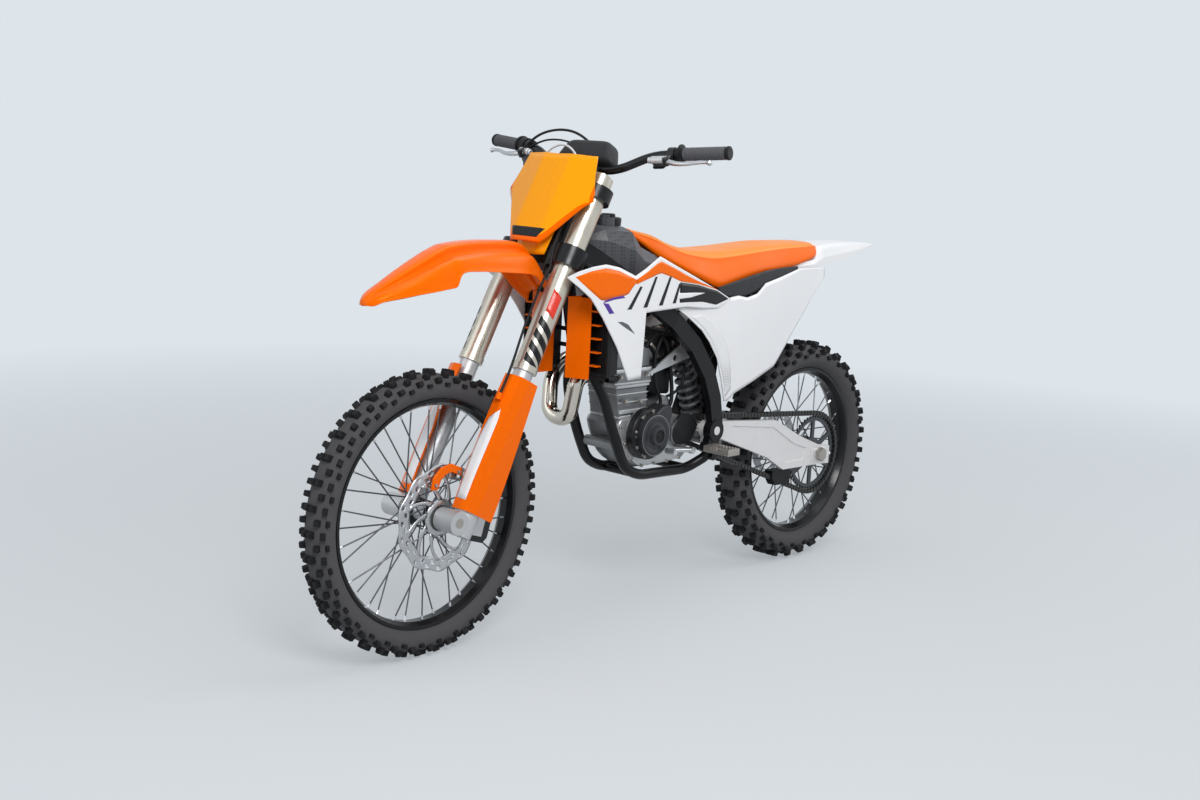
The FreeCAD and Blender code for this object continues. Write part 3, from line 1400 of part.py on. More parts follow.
def seat():
    """The seat, a long pad that rises at its front."""
    sections = []
    for sx, topShare, lowShare, low, high in seatShares:
        bottom = pivot.z + seatLow + low * seatTall
        top = pivot.z + seatLow + high * seatTall
        sections.append(topSection(pivot.x + seatBehind + sx * seatLong, lowShare * seatHalf, topShare * seatHalf,
                                   bottom, top - seatCrown, seatCrown))
    return lofted(sections)


def rearFender():
    """The arched rear fender behind the seat."""
    wires = []
    for sx, wide, low, high in tailShares:
        wires.append(archBand(pivot.x + tailBehind + sx * tailLong, wide * tailHalf, pivot.z + tailUp + low * tailDeep,
                              pivot.z + tailUp + high * tailDeep, fenderWall, tailArchShares))
    posts = []
    for share in (0.85, 0.95):
        at = railPlace(share)
        for side in (1, -1):
            foot = vec(at.x, side * at.y, at.z + railRadius + faceGap)
            posts.append(rod(foot, vec(foot.x, foot.y, fenderRoof(at.x) - fenderWall), standoffRadius * 0.75))
    count = tailSmoothRows
    shell = smoothLoft(wires[:count]).fuse(Part.makeLoft(wires[count - 1:], True, True))
    return shell.fuse(posts)


def frontFender():
    """The long front fender, arched over the wheel and fixed under the lower clamp."""
    wires = []
    for sx, sz, wide, drop in mudShares:
        top = frontAxle.z + mudUp + sz * mudTall
        wires.append(archBand(frontAxle.x - mudBack + sx * mudLong, wide * mudHalf, top - drop * mudSkirt, top,
                              fenderWall, mudArchShares))
    under = -headTubeBelow - lowerClampThick - 2 * faceGap
    posts = [rod(onFork(under - mudPost, stemRadius, side * legLeft * 0.3), onFork(under, stemRadius, side * legLeft * 0.3),
                 standoffRadius) for side in (1, -1)]
    return smoothLoft(wires).fuse(posts)


def radiators():
    """The two finned radiators beside the down tube."""
    core = Part.makeBox(radiatorThick, radiatorWide, radiatorTall, onFrame(radiatorAhead, radiatorLeft, radiatorLow))
    pitch = radiatorWide / (finCount + 1)
    low = radiatorLow + radiatorTall * 0.12
    slots = []
    for i in range(finCount):
        for ahead in (radiatorAhead - overrun, radiatorAhead + radiatorThick - finDeep):
            slots.append(Part.makeBox(finDeep + overrun, pitch * 0.55, radiatorTall * 0.76,
                                      onFrame(ahead, radiatorLeft + pitch * (i + 0.7), low)))
    lugs = []
    for share in (0.25, 0.45):
        at = downTubeAt(radiatorLow + share * radiatorTall)
        lugs.append(rod(at + across * (downTube + faceGap), at + across * (radiatorLeft + overrun), standoffRadius * 0.7))
    return pair(core.cut(slots).fuse(lugs))


def radiatorGuards():
    """The guards in front of the radiators: a shield beside the wheel and a louvred part outside it."""
    back = pivot.x + radiatorAhead + radiatorThick + faceGap
    inner = radiatorLeft - guardSheet
    crease = radiatorLeft + guardSplit
    outer = radiatorLeft + radiatorWide
    floor = pivot.z + guardLow
    outline = [
        vec(back + guardReach, inner, floor), vec(back + guardReach, inner + guardSheet, floor),
        vec(back + guardReach * 0.5, crease, floor), vec(back + guardSheet, outer, floor), vec(back, outer, floor),
        vec(back, outer - guardSheet, floor), vec(back + guardReach * 0.5 - guardSheet, crease - guardSheet, floor),
        vec(back + guardReach - 2 * guardSheet, inner + guardSheet, floor), vec(back, inner + guardSheet, floor),
        vec(back, inner, floor),
    ]
    shield = prism(outline, vec(0, 0, guardTall))
    pitch = guardTall / (louvreCount + 1)
    slots = []
    for i in range(louvreCount):
        low = floor + pitch * (i + 0.75)
        slots.append(Part.makeBox(guardReach, outer - crease - 2 * guardSheet, pitch * 0.5,
                                  vec(back - guardSheet, crease + guardSheet, low)))
    return pair(shield.cut(slots))


def silencerEnds():
    """Start and end of the silencer's middle line on the right-hand side."""
    start = onFrame(silencerStart, -silencerLeft, silencerUp)
    return start, start + vec(-silencerLong, -silencerRadius * 0.2, silencerRise)


def header():
    """The exhaust header, from the port down, round to the right and back beside the engine."""
    port = portPlace() + vec(faceGap, 0, 0)
    start, end = silencerEnds()
    way = (end - start).normalize()
    loop = portRadius + headerRadius * 2
    points = [
        port, port + vec(loop, 0, 0), port + vec(loop * 1.2, -loop * 0.2, -loop * 1.8),
        port + vec(loop * 1.25, -loop * 1.25, -loop * 1.7), port + vec(loop * 0.85, -loop * 1.6, loop * 0.15),
        port + vec(-loop * 1.0, -loop * 1.3, loop * 0.85), port + vec(-loop * 3.4, -loop * 1.25, loop * 0.85),
        onFrame(headAhead * 0.12, -sparLeft * 0.58, headUp * 0.395), start - way * (loop * 1.2), start - way * faceGap,
    ]
    return bentTube(points, headerRadius)


def silencer():
    """The silencer with tapered ends, a band, and its strap to the subframe rail."""
    start, end = silencerEnds()
    run = end - start
    way = vec(run.x, run.y, run.z).normalize()
    cone = silencerRadius * 1.1
    pieces = [
        Part.makeCone(headerRadius * 1.15, silencerRadius, cone, start, run),
        Part.makeCone(silencerRadius, silencerRadius * 0.68, cone, end - way * cone, run),
        rod(end - way * overrun, end + way * (silencerRadius * 0.4), headerRadius),
    ]
    band = run.Length * 0.72
    pieces.append(rod(start + way * band, start + way * (band + bandWide), silencerRadius + bandProud))
    at = railPlace(0.75)
    left = -at.y - railRadius - 2 * faceGap - silencerRadius * 0.5
    foot = vec(at.x - railRadius, left, start.z)
    pieces.append(Part.makeBox(2 * railRadius, silencerRadius * 0.5, at.z - start.z, foot))
    return rod(start + way * cone, end - way * cone, silencerRadius).fuse(pieces)


def footPegs():
    """The two serrated foot pegs outside the frame."""
    left = sparLeft + sparThick / 2 + bossProud + faceGap
    low = pivot.z - pegDrop
    pitch = (pegLong - pegRoot * 2) / pegTeeth
    teeth = [vec(0, left, low), vec(0, left + pegLong, low), vec(0, left + pegLong, low + pegTall * 0.6)]
    for i in range(pegTeeth):
        outer = left + pegLong - pitch * i
        teeth += [vec(0, outer - pitch * 0.1, low + pegTall), vec(0, outer - pitch * 0.4, low + pegTall),
                  vec(0, outer - pitch * 0.75, low + pegTall * 0.55), vec(0, outer - pitch, low + pegTall * 0.55)]
    teeth += [vec(0, left + 2 * pegRoot, low + pegTall), vec(0, left, low + pegTall)]
    x = pivot.x + pegAhead - pegWide / 2
    peg = prism([vec(x, p.y, p.z) for p in teeth], vec(pegWide, 0, 0))
    bay = Part.makeBox(pegWide - 2 * pegRail, pegLong - pegRoot * 2 - pegRail, pegTall + 2 * overrun,
                       vec(x + pegRail, left + pegRoot * 2, low - overrun))
    cross = Part.makeBox(pegWide, pegRail, pegTall * 0.55, vec(x, left + pegLong * 0.6, low))
    return pair(peg.cut(bay).fuse(cross))


def footControls():
    """The gear lever on the left and the brake pedal on the right."""
    heel = onFrame(gearAhead, caseLeft + faceGap, -gearDrop)
    knee = onFrame(gearAhead, gearLeft, -gearDrop)
    toe = onFrame(gearAhead + gearLong, gearLeft + leverRadius, -gearDrop + gearRise)
    gear = rod(heel, knee, leverRadius).fuse([
        rod(knee, toe, leverRadius), rod(toe, toe + across * gearTip, leverRadius * 1.3),
        rod(knee - across * leverRadius, knee + across * leverRadius, leverRadius * 1.6)])
    root = pedalPlace() - across * (sparLeft + sparThick / 2 + bossProud + faceGap)
    turn = root - across * (2 * leverRadius)
    tip = turn + vec(pedalLong, 0, pedalRise)
    pad = Part.makeBox(pedalPad, pedalPad, leverRadius, tip - vec(pedalPad / 2, pedalPad * 0.8, 0))
    pedal = rod(root, turn, leverRadius * 1.4).fuse([rod(turn, tip, leverRadius), pad])
    return Part.makeCompound([gear, pedal])


def rearAxleShaft():
    """The rear axle with nuts outside the arms and collars beside the hub."""
    outside = armLeft + armThick + armPocket + faceGap
    end = outside + axleNut
    shaft = rod(rearAxle - across * end, rearAxle + across * end, rearAxleRadius)
    parts = []
    for side, hubEnd in ((1, chainLeft + sprocketThick / 2), (-1, chainLeft + discThick / 2)):
        turn = across * side
        parts.append(hexRod(rearAxle + turn * outside, rearAxle + turn * end, rearAxleRadius * 1.7))
        parts.append(rod(rearAxle + turn * (hubEnd + faceGap), rearAxle + turn * (armLeft - faceGap), spacerRadius))
    return shaft.fuse(parts)


def caliper(centre, reach, angle, left, slotLeft):
    """A brake caliper that straddles its disc, its corners cut off and its pistons proud."""
    half = caliperLong / 2
    deep = caliperDeep / 2
    outline = [(-deep, -half * 0.7), (-deep, half * 0.7), (-deep * 0.5, half), (deep * 0.6, half),
               (deep, half * 0.6), (deep, -half * 0.6), (deep * 0.6, -half), (-deep * 0.5, -half)]
    at = centre + vec(reach, left, 0)
    body = slab([(at.x + x, at.z + z) for x, z in outline], left, caliperWide)
    gap = Part.makeBox(caliperDeep, caliperSlot, caliperLong + 2 * overrun,
                       at + vec(-deep - 2 * overrun, slotLeft - left, -half - overrun))
    caps = []
    turn = -1 if left > 0 else 1
    for share in (-0.45, 0.45):
        spot = at + vec(-deep * 0.2, caliperWide / 2, share * half)
        caps.append(rod(spot, spot + across * (turn * (caliperWide / 2 + coverBolt)), caliperDeep * 0.22))
    body = body.fuse(caps).cut(gap)
    body.rotate(centre, across, -angle)
    return body


def frontCaliper():
    """The front brake caliper on the left leg."""
    middle = discLeft + discThick / 2
    return caliper(frontAxle, caliperReach, caliperAngle, middle - caliperWide / 2, middle - caliperSlot / 2)


def rearCaliper():
    """The rear brake caliper with its bracket on the axle."""
    left = -armLeft + faceGap
    body = caliper(rearAxle, rearCaliperReach, rearCaliperAngle, left, -chainLeft - caliperSlot / 2)
    plate = Part.makeBox(rearCaliperReach, caliperPlate, spacerRadius * 2, rearAxle + vec(0, left, -spacerRadius))
    plate.rotate(rearAxle, across, -rearCaliperAngle)
    eye = rod(rearAxle + across * left, rearAxle + across * (left + caliperPlate), spacerRadius * 1.45)
    hole = rod(rearAxle - across * armLeft, rearAxle, spacerRadius + faceGap)
    return body.fuse([plate, eye]).cut(hole)


def chainGuide():
    """The chain guide under the left arm."""
    low = guideAhead
    share = low / countershaft.x
    top = rearAxle.z - armTall * 0.34 - faceGap
    z = rearAxle.z - rearPitchRadius + share * (countershaft.z - frontPitchRadius - rearAxle.z + rearPitchRadius)
    left = chainLeft - chainWide / 2 - guideWall - guideClear
    wide = chainWide + 2 * guideWall + 2 * guideClear
    block = slab([(low - guideLong / 2, z - guideTall / 2), (low + guideLong * 0.3, z - guideTall * 0.4),
                  (low + guideLong / 2, z - guideTall / 2 + guideLong * 0.3), (low + guideLong / 2, top),
                  (low - guideLong / 2, top)], left, wide)
    half = chainTall / 2 + guideClear
    run = chainBand(rearPitchRadius + half, frontPitchRadius + half, left + guideWall, wide - 2 * guideWall)
    hollow = chainBand(rearPitchRadius - half, frontPitchRadius - half, left + guideWall / 2, wide - guideWall)
    return block.cut(run.cut(hollow))


def barPoints():
    """The bar's middle line, from the middle to the left end."""
    return [
        onFork(barAlong, 0, 0), onFork(barAlong, 0, padHalf * 1.3), onFork(barAlong + barRise, -barSweep, barHalf * 0.5),
        onFork(barAlong + 2 * barRise, -3 * barSweep, barHalf),
    ]


def handlebar():
    """The bar, bent the same way on both sides."""
    points = barPoints()
    whole = [vec(p.x, -p.y, p.z) for p in reversed(points[1:])] + points[1:]
    return bentTube(whole, barRadius, 0.18)


def grips():
    """The two grips on the bar's ends, each with its flange."""
    points = barPoints()
    way = (points[2] - points[3]).normalize()
    end = points[3]
    start = end + way * gripLong
    bore = barRadius + faceGap / 10
    pieces = [pipe(start - way * gripFlange, start, gripRadius * 1.5, bore)]
    return pair(pipe(start, end, gripRadius, bore).fuse(pieces))


def barControls():
    """The clutch lever on the left and the brake lever and its cylinder on the right."""
    points = barPoints()
    way = (points[2] - points[3]).normalize()
    at = points[3] + way * (gripLong + leverGap)
    bore = barRadius + faceGap / 10
    perch = pipe(at - way * (leverGap / 2), at + way * (leverGap / 2), gripRadius * 1.2, bore)
    front = at + steerOut * (gripRadius + leverGap)
    neck = rod(at + steerOut * gripRadius, front, leverRadius * 1.4)
    barrel = rod(front + way * (leverGap * 0.2), front + way * (leverGap * 1.9), leverRadius * 1.6)
    blade = bentTube([front, front - way * (leverLong * 0.4) + steerOut * (leverGap * 0.5),
                      front - way * leverLong + steerOut * (leverGap * 0.1)], leverRadius)
    tip = front - way * leverLong + steerOut * (leverGap * 0.1)
    knob = rod(tip, tip - way * leverRadius * 2, leverRadius * 1.35)
    lever = perch.fuse([neck, barrel, blade, knob])
    lever = lever.cut(rod(at - way * (2 * leverGap), at + way * (2 * leverGap), bore))
    cup = at + way * (leverGap * 0.6) + steerOut * (gripRadius * 0.9)
    tank = rod(cup, cup + steerUp * (gripRadius + leverGap), gripRadius)
    lid = rod(cup + steerUp * (gripRadius + leverGap), cup + steerUp * (gripRadius + leverGap * 1.2), gripRadius * 1.15)
    right = lever.fuse([tank, lid]).cut(rod(at - way * (2 * leverGap), at + way * (2 * leverGap), bore))
    return Part.makeCompound([lever, mirrored(right)])


def barPad():
    """The pad over the bar's middle, narrower at its top."""
    low = onFork(barAlong + barRadius + faceGap, 0, 0)
    sections = []
    for share in (1, padTopShare):
        out = steerOut * (padDeep / 2 * share)
        left = across * (padHalf * share)
        at = low + steerUp * (padTall if share < 1 else 0)
        sections.append([at - out - left, at + out - left, at + out + left, at - out + left])
    return lofted(sections)


def barPosts():
    """The two clamps that hold the bar over the upper fork clamp."""
    low = headTubeAbove + faceGap + upperClampThick
    posts = []
    for side in (1, -1):
        foot = onFork(low - overrun, -barPostHalf, side * barPostLeft - barPostHalf)
        base = [foot, foot + steerOut * (2 * barPostHalf), foot + steerOut * (2 * barPostHalf) + across * (2 * barPostHalf),
                foot + across * (2 * barPostHalf)]
        posts.append(prism(base, steerUp * (barAlong - low + overrun)))
    return posts


def numberPlate():
    """The front plate, its sides folded back, and its two posts to the fork tubes."""
    low = onFork(-plateDrop, plateOut, 0)
    sections = []
    for sy, foot, top, fold in plateShares:
        at = low + across * (sy * plateHalf) - steerOut * (fold * plateHalf)
        sections.append([at + steerUp * (foot * plateTall), at + steerUp * (top * plateTall),
                         at + steerUp * (top * plateTall) + steerOut * plateWall,
                         at + steerUp * (foot * plateTall) + steerOut * plateWall])
    posts = []
    for side in (1, -1):
        back = clampOffset + forkOuterRadius - platePostSink
        foot = onFork(plateDrop * 0.8, back, side * legLeft * platePostShare)
        reach = plateOut - platePostIn - back
        posts.append(rod(foot, foot + steerOut * reach, standoffRadius * 0.62))
    return lofted(sections).fuse(posts)


def brakeHose():
    """The front brake hose along the left leg."""
    out = clampOffset + forkOuterRadius + hoseRadius + faceGap
    points = []
    for i, share in enumerate(spread(hoseTopShare, hoseFootShare, hoseRunShares)):
        points.append(onFork(-share * forkOuterBelow, out, legLeft - hoseRadius * (1 if i % 2 else 0.3)))
    return bentTube(points, hoseRadius)


def save(name, shape):
    """Moves a piece to the exported frame and writes it."""
    moved = shape.copy()
    moved.translate(rider * -1)
    moved.exportStep(os.path.join("parts", name + ".step"))


os.makedirs("parts", exist_ok=True)
frontWheel()
rearWheel()
save("chain", driveChain())
bar = handlebar()
save("handlebar", bar)
save("triple_clamps", tripleClamps().fuse(barPosts()).cut(bar))
save("fork_tubes", forkTubes())
save("fork_sliders", forkSliders())
save("front_axle", frontAxleShaft())
save("fork_guards", forkGuards())
save("front_fender", frontFender())
save("number_plate", numberPlate())
save("grips", grips())
save("bar_controls", barControls())
save("bar_pad", barPad())
save("front_caliper", frontCaliper())
save("brake_hose", brakeHose())
save("main_frame", mainFrame())
save("subframe", subframe())
save("swingarm", swingarm())
save("shock", shock())
save("engine_case", engineCase())
save("cylinder_head", cylinderAndHead())
save("head_stay", headStay())
save("airbox", airbox())
save("fuel_tank", tank())
save("seat", seat())
save("shrouds", shrouds())
save("side_panels", sidePanels())
save("rear_fender", rearFender())
save("radiators", radiators())
save("radiator_guards", radiatorGuards())
save("exhaust_header", header())
save("silencer", silencer())
save("foot_pegs", footPegs())
save("foot_controls", footControls())
save("rear_axle", rearAxleShaft())
save("rear_caliper", rearCaliper())
save("chain_guide", chainGuide())
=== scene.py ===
import bmesh
import bpy
import numpy as np
from mathutils import Matrix


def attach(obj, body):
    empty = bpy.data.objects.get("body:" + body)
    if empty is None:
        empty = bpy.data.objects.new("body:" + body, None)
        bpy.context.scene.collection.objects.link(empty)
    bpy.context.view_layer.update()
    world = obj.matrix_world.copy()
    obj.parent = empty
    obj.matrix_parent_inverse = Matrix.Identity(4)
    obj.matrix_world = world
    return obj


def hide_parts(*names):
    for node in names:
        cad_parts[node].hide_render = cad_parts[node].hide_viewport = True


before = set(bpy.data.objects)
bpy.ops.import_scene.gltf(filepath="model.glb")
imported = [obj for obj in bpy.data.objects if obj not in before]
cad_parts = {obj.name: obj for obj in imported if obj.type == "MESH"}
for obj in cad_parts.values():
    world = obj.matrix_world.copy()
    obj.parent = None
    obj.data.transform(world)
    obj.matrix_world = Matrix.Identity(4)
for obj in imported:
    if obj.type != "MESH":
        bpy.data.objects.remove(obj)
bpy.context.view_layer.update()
print("frame loaded")

# Places are written in millimetres: x forward from the rear axle, y to the rider's left, z up from the
# ground
riderSpot = np.array([505.0, 0.0, 959.0])
layout = {
    "rearAxle": (0.0, 0.0, 338.0),
    "frontAxle": (1492.98, 0.0, 348.0),
    "head": (1075.0, 0.0, 1021.0),
    "rake": 27.5,
    "legLeft": 95.0,
}
rake = np.radians(layout["rake"])
steerUp = np.array([-np.sin(rake), 0.0, np.cos(rake)])
steerOut = np.array([np.cos(rake), 0.0, np.sin(rake)])
across = np.array([0.0, 1.0, 0.0])


def toRow(points):  # mm from the ground to metres in the part's own frame: (points - riderSpot) / 1000
    return (np.asarray(points, float) - riderSpot) / 1000


def onFork(along, out, left):  # head + along * steerUp + out * steerOut + left * across
    along, out, left = np.broadcast_arrays(*(np.asarray(v, float) for v in (along, out, left)))
    along, out, left = along[..., None], out[..., None], left[..., None]
    return np.array(layout["head"]) + along * steerUp + out * steerOut + left * across


def newObject(name, data):  # an object in the scene, at the origin
    made = bpy.data.objects.new(name, data)
    bpy.context.scene.collection.objects.link(made)
    return made


# Camera and light

view = {"place": (3863.98, 2698.37, 1244.29), "yaw": 47.7587, "pitch": 9.5654, "roll": 3.0338,
        "lens": 46.2486, "sensor": 36.0, "farthest": 60.0}


def makeCamera():
    # looks along (-cos pitch sin yaw, -cos pitch cos yaw, -sin pitch), rolled about that line
    yaw, pitch, roll = (np.radians(view[key]) for key in ("yaw", "pitch", "roll"))
    ahead = np.array([-np.cos(pitch) * np.sin(yaw), -np.cos(pitch) * np.cos(yaw), -np.sin(pitch)])
    right = np.cross(ahead, [0, 0, 1])
    right /= np.linalg.norm(right)
    up = np.cross(right, ahead)
    turnedRight = np.cos(roll) * right + np.sin(roll) * up
    turnedUp = -np.sin(roll) * right + np.cos(roll) * up
    lensData = bpy.data.cameras.new("camera")
    lensData.sensor_width = view["sensor"]
    lensData.lens = view["lens"]
    lensData.clip_end = view["farthest"]
    camera = newObject("camera", lensData)
    turn = Matrix(np.column_stack([turnedRight, turnedUp, -ahead]).tolist()).to_4x4()
    camera.matrix_world = Matrix.Translation(toRow(view["place"]).tolist()) @ turn
    bpy.context.scene.camera = camera


light = {
    "key": {"place": (2900, 2500, 3000), "size": 1.6, "power": 92.0},
    "fill": {"place": (3900, -900, 1900), "size": 2.6, "power": 16.0},
    "top": {"place": (300, 300, 3600), "size": 2.4, "power": 30.0},
    "back": {"place": (-1900, 1700, 2300), "size": 2.2, "power": 30.0},
    "aim": (750, 0, 700),
    "sky": "#E6ECF2", "skyStrength": 0.34, "skySeen": "#DDE4EA", "floor": "#C9CBCC", "floorSize": 60.0,
    "floorRough": 0.85, "floorShine": 0.2, "fadeNear": 0.9, "fadeFar": 5.0, "floorGlow": 0.45,
}


def toLinear(code):  # sRGB hex to linear light, with full alpha
    channels = np.array([int(code[i:i + 2], 16) for i in (1, 3, 5)]) / 255
    linear = np.where(channels <= 0.04045, channels / 12.92, ((channels + 0.055) / 1.055) ** 2.4)
    return (*linear.tolist(), 1.0)


def addNode(tree, kind, sockets=(), **settings):
    # one node with its settings; sockets give a value or a link
    node = tree.nodes.new(kind)
    for key, value in settings.items():
        setattr(node, key, value)
    for key, value in dict(sockets).items():
        if isinstance(value, bpy.types.NodeSocket):
            tree.links.new(value, node.inputs[key])
        else:
            node.inputs[key].default_value = value
    return node


def seenDirectly(tree):  # 1 for a ray of the camera or of a gloss, 0 for the light that falls on the object
    rays = addNode(tree, "ShaderNodeLightPath")
    return addNode(tree, "ShaderNodeMath", {0: rays.outputs["Is Camera Ray"],
                                            1: rays.outputs["Is Glossy Ray"]},
                   operation="ADD", use_clamp=True)


def makeLight():  # a pale world and four round lamps, each turned to the aim
    world = bpy.data.worlds.new("studio")
    world.use_nodes = True
    tree = world.node_tree
    tree.nodes.clear()
    seen = seenDirectly(tree)
    dim = addNode(tree, "ShaderNodeBackground", {"Color": toLinear(light["sky"]),
                                                 "Strength": light["skyStrength"]})
    shown = addNode(tree, "ShaderNodeBackground", {"Color": toLinear(light["skySeen"]), "Strength": 1.0})
    mix = addNode(tree, "ShaderNodeMixShader", {0: seen.outputs[0], 1: dim.outputs[0], 2: shown.outputs[0]})
    addNode(tree, "ShaderNodeOutputWorld", {"Surface": mix.outputs[0]})
    bpy.context.scene.world = world
    for name in ("key", "fill", "top", "back"):
        lamp = bpy.data.lights.new(name, "AREA")
        lamp.shape = "DISK"
        lamp.size = light[name]["size"]
        lamp.energy = light[name]["power"]
        place = toRow(light[name]["place"])
        away = place - toRow(light["aim"])
        away /= np.linalg.norm(away)
        side = np.cross([0, 0, 1], away)
        side /= np.linalg.norm(side)
        holder = newObject(name, lamp)
        turn = Matrix(np.column_stack([side, np.cross(away, side), away]).tolist()).to_4x4()
        holder.matrix_world = Matrix.Translation(place.tolist()) @ turn
    bpy.context.scene.view_settings.view_transform = "Standard"


def makeFloor():  # a square of floorSize metres each way from the object, at the ground
    corners = toRow(np.array([(-1, -1, 0), (1, -1, 0), (1, 1, 0), (-1, 1, 0)]) * light["floorSize"] * 1000)
    mesh = bpy.data.meshes.new("floor")
    mesh.from_pydata(corners.tolist(), [], [(0, 1, 2, 3)])
    floor = newObject("floor", mesh)
    # matt emulsion, pale grey; with distance it turns into the plain backdrop, which only the camera and
    # gloss see
    paint = bpy.data.materials.new("paintedStudioFloor")
    paint.use_nodes = True
    tree = paint.node_tree
    shader = tree.nodes["Principled BSDF"]
    shader.inputs["Base Color"].default_value = toLinear(light["floor"])
    shader.inputs["Roughness"].default_value = light["floorRough"]
    shader.inputs["Specular IOR Level"].default_value = light["floorShine"]
    seen = seenDirectly(tree)
    where = addNode(tree, "ShaderNodeTexCoord")
    far = addNode(tree, "ShaderNodeVectorMath", {0: where.outputs["Object"],
                                                 1: (0.0, 0.0, -riderSpot[2] / 1000)}, operation="DISTANCE")
    fade = addNode(tree, "ShaderNodeMapRange", {"Value": far.outputs["Value"],
                                                "From Min": light["fadeNear"], "From Max": light["fadeFar"],
                                                "To Min": light["floorGlow"]})
    share = addNode(tree, "ShaderNodeMath", {0: seen.outputs[0], 1: fade.outputs[0]}, operation="MULTIPLY")
    glow = addNode(tree, "ShaderNodeEmission", {"Color": toLinear(light["skySeen"]), "Strength": 1.0})
    both = addNode(tree, "ShaderNodeMixShader", {0: share.outputs[0], 1: shader.outputs[0],
                                                 2: glow.outputs[0]})
    tree.links.new(both.outputs[0], tree.nodes["Material Output"].inputs["Surface"])
    mesh.materials.append(paint)


makeCamera()
makeLight()
makeFloor()
print("camera, light and floor made")

# Finishes. Each is named for the real material and how its surface was made; some also for the light painted
# into their colour

fade = {  # what every finish shares: the noise between which it drifts, a dot's edge and shade, bump and coat
    "low": 0.3, "high": 0.7, "dotInner": 0.3, "dotOuter": 0.38, "dotShade": 0.45, "bump": 0.6,
    "coatRough": 0.08, "leastRough": 0.03, "blotchDetail": 3.0, "grainDetail": 2.0,
}


def textureOf(tree, sizeMm, detail, stretch):  # noise whose grain is sizeMm across, on Object coordinates
    where = addNode(tree, "ShaderNodeTexCoord")
    turned = addNode(tree, "ShaderNodeMapping", {"Vector": where.outputs["Object"], "Scale": stretch})
    return addNode(tree, "ShaderNodeTexNoise", {"Vector": turned.outputs[0], "Scale": 1000.0 / sizeMm,
                                                "Detail": detail})


def newFinish(name, colour, roughness, metallic, shade, blotchMm, grainMm=2.0, grainDeep=0.0,
              roughSpread=0.08, coat=0.0, sheen=0.0, stretch=(1, 1, 1), specular=0.5, tint="#FFFFFF",
              dotsMm=0.0):
    # colour = base * (1 - shade * (1 - noise of blotchMm)), roughness +- roughSpread by the same noise, a
    # bump of grainMm that is grainDeep high, and a square grid of darker dots every dotsMm
    made = bpy.data.materials.new(name)
    made.use_nodes = True
    tree = made.node_tree
    shader = tree.nodes["Principled BSDF"]
    blotch = textureOf(tree, blotchMm, fade["blotchDetail"], stretch)
    base = toLinear(colour)
    dark = tuple(c * (1 - shade) for c in base[:3]) + (1.0,)
    mix = addNode(tree, "ShaderNodeMix", {"Factor": blotch.outputs["Fac"]}, data_type="RGBA")
    mix.inputs["A"].default_value = dark
    mix.inputs["B"].default_value = base
    if dotsMm:
        where = addNode(tree, "ShaderNodeTexCoord")
        cells = addNode(tree, "ShaderNodeTexVoronoi", {"Vector": where.outputs["Object"],
                                                       "Scale": 1000.0 / dotsMm, "Randomness": 0.0})
        dot = addNode(tree, "ShaderNodeMapRange", {"Value": cells.outputs["Distance"],
                                                   "From Min": fade["dotInner"],
                                                   "From Max": fade["dotOuter"]})
        pit = addNode(tree, "ShaderNodeMix", {"Factor": dot.outputs[0]}, data_type="RGBA")
        pit.inputs["A"].default_value = (*[fade["dotShade"]] * 3, 1)
        pit.inputs["B"].default_value = (1, 1, 1, 1)
        pitted = addNode(tree, "ShaderNodeMix", {"Factor": 1.0}, data_type="RGBA", blend_type="MULTIPLY")
        tree.links.new(mix.outputs["Result"], pitted.inputs["A"])
        tree.links.new(pit.outputs["Result"], pitted.inputs["B"])
        mix = pitted
    tree.links.new(mix.outputs["Result"], shader.inputs["Base Color"])
    spread = addNode(tree, "ShaderNodeMapRange", {
        "Value": blotch.outputs["Fac"], "From Min": fade["low"], "From Max": fade["high"],
        "To Min": max(roughness - roughSpread, fade["leastRough"]),
        "To Max": min(roughness + roughSpread, 1.0)})
    tree.links.new(spread.outputs[0], shader.inputs["Roughness"])
    if grainDeep:
        grain = textureOf(tree, grainMm, fade["grainDetail"], stretch)
        bump = addNode(tree, "ShaderNodeBump", {"Height": grain.outputs["Fac"], "Strength": fade["bump"],
                                                "Distance": grainDeep / 1000})
        tree.links.new(bump.outputs[0], shader.inputs["Normal"])
    constants = {"Metallic": metallic, "Coat Weight": coat, "Coat Roughness": fade["coatRough"],
                 "Sheen Weight": sheen, "Specular IOR Level": specular, "Specular Tint": toLinear(tint)}
    for socket, value in constants.items():
        shader.inputs[socket].default_value = value
    made.diffuse_color = base
    return made


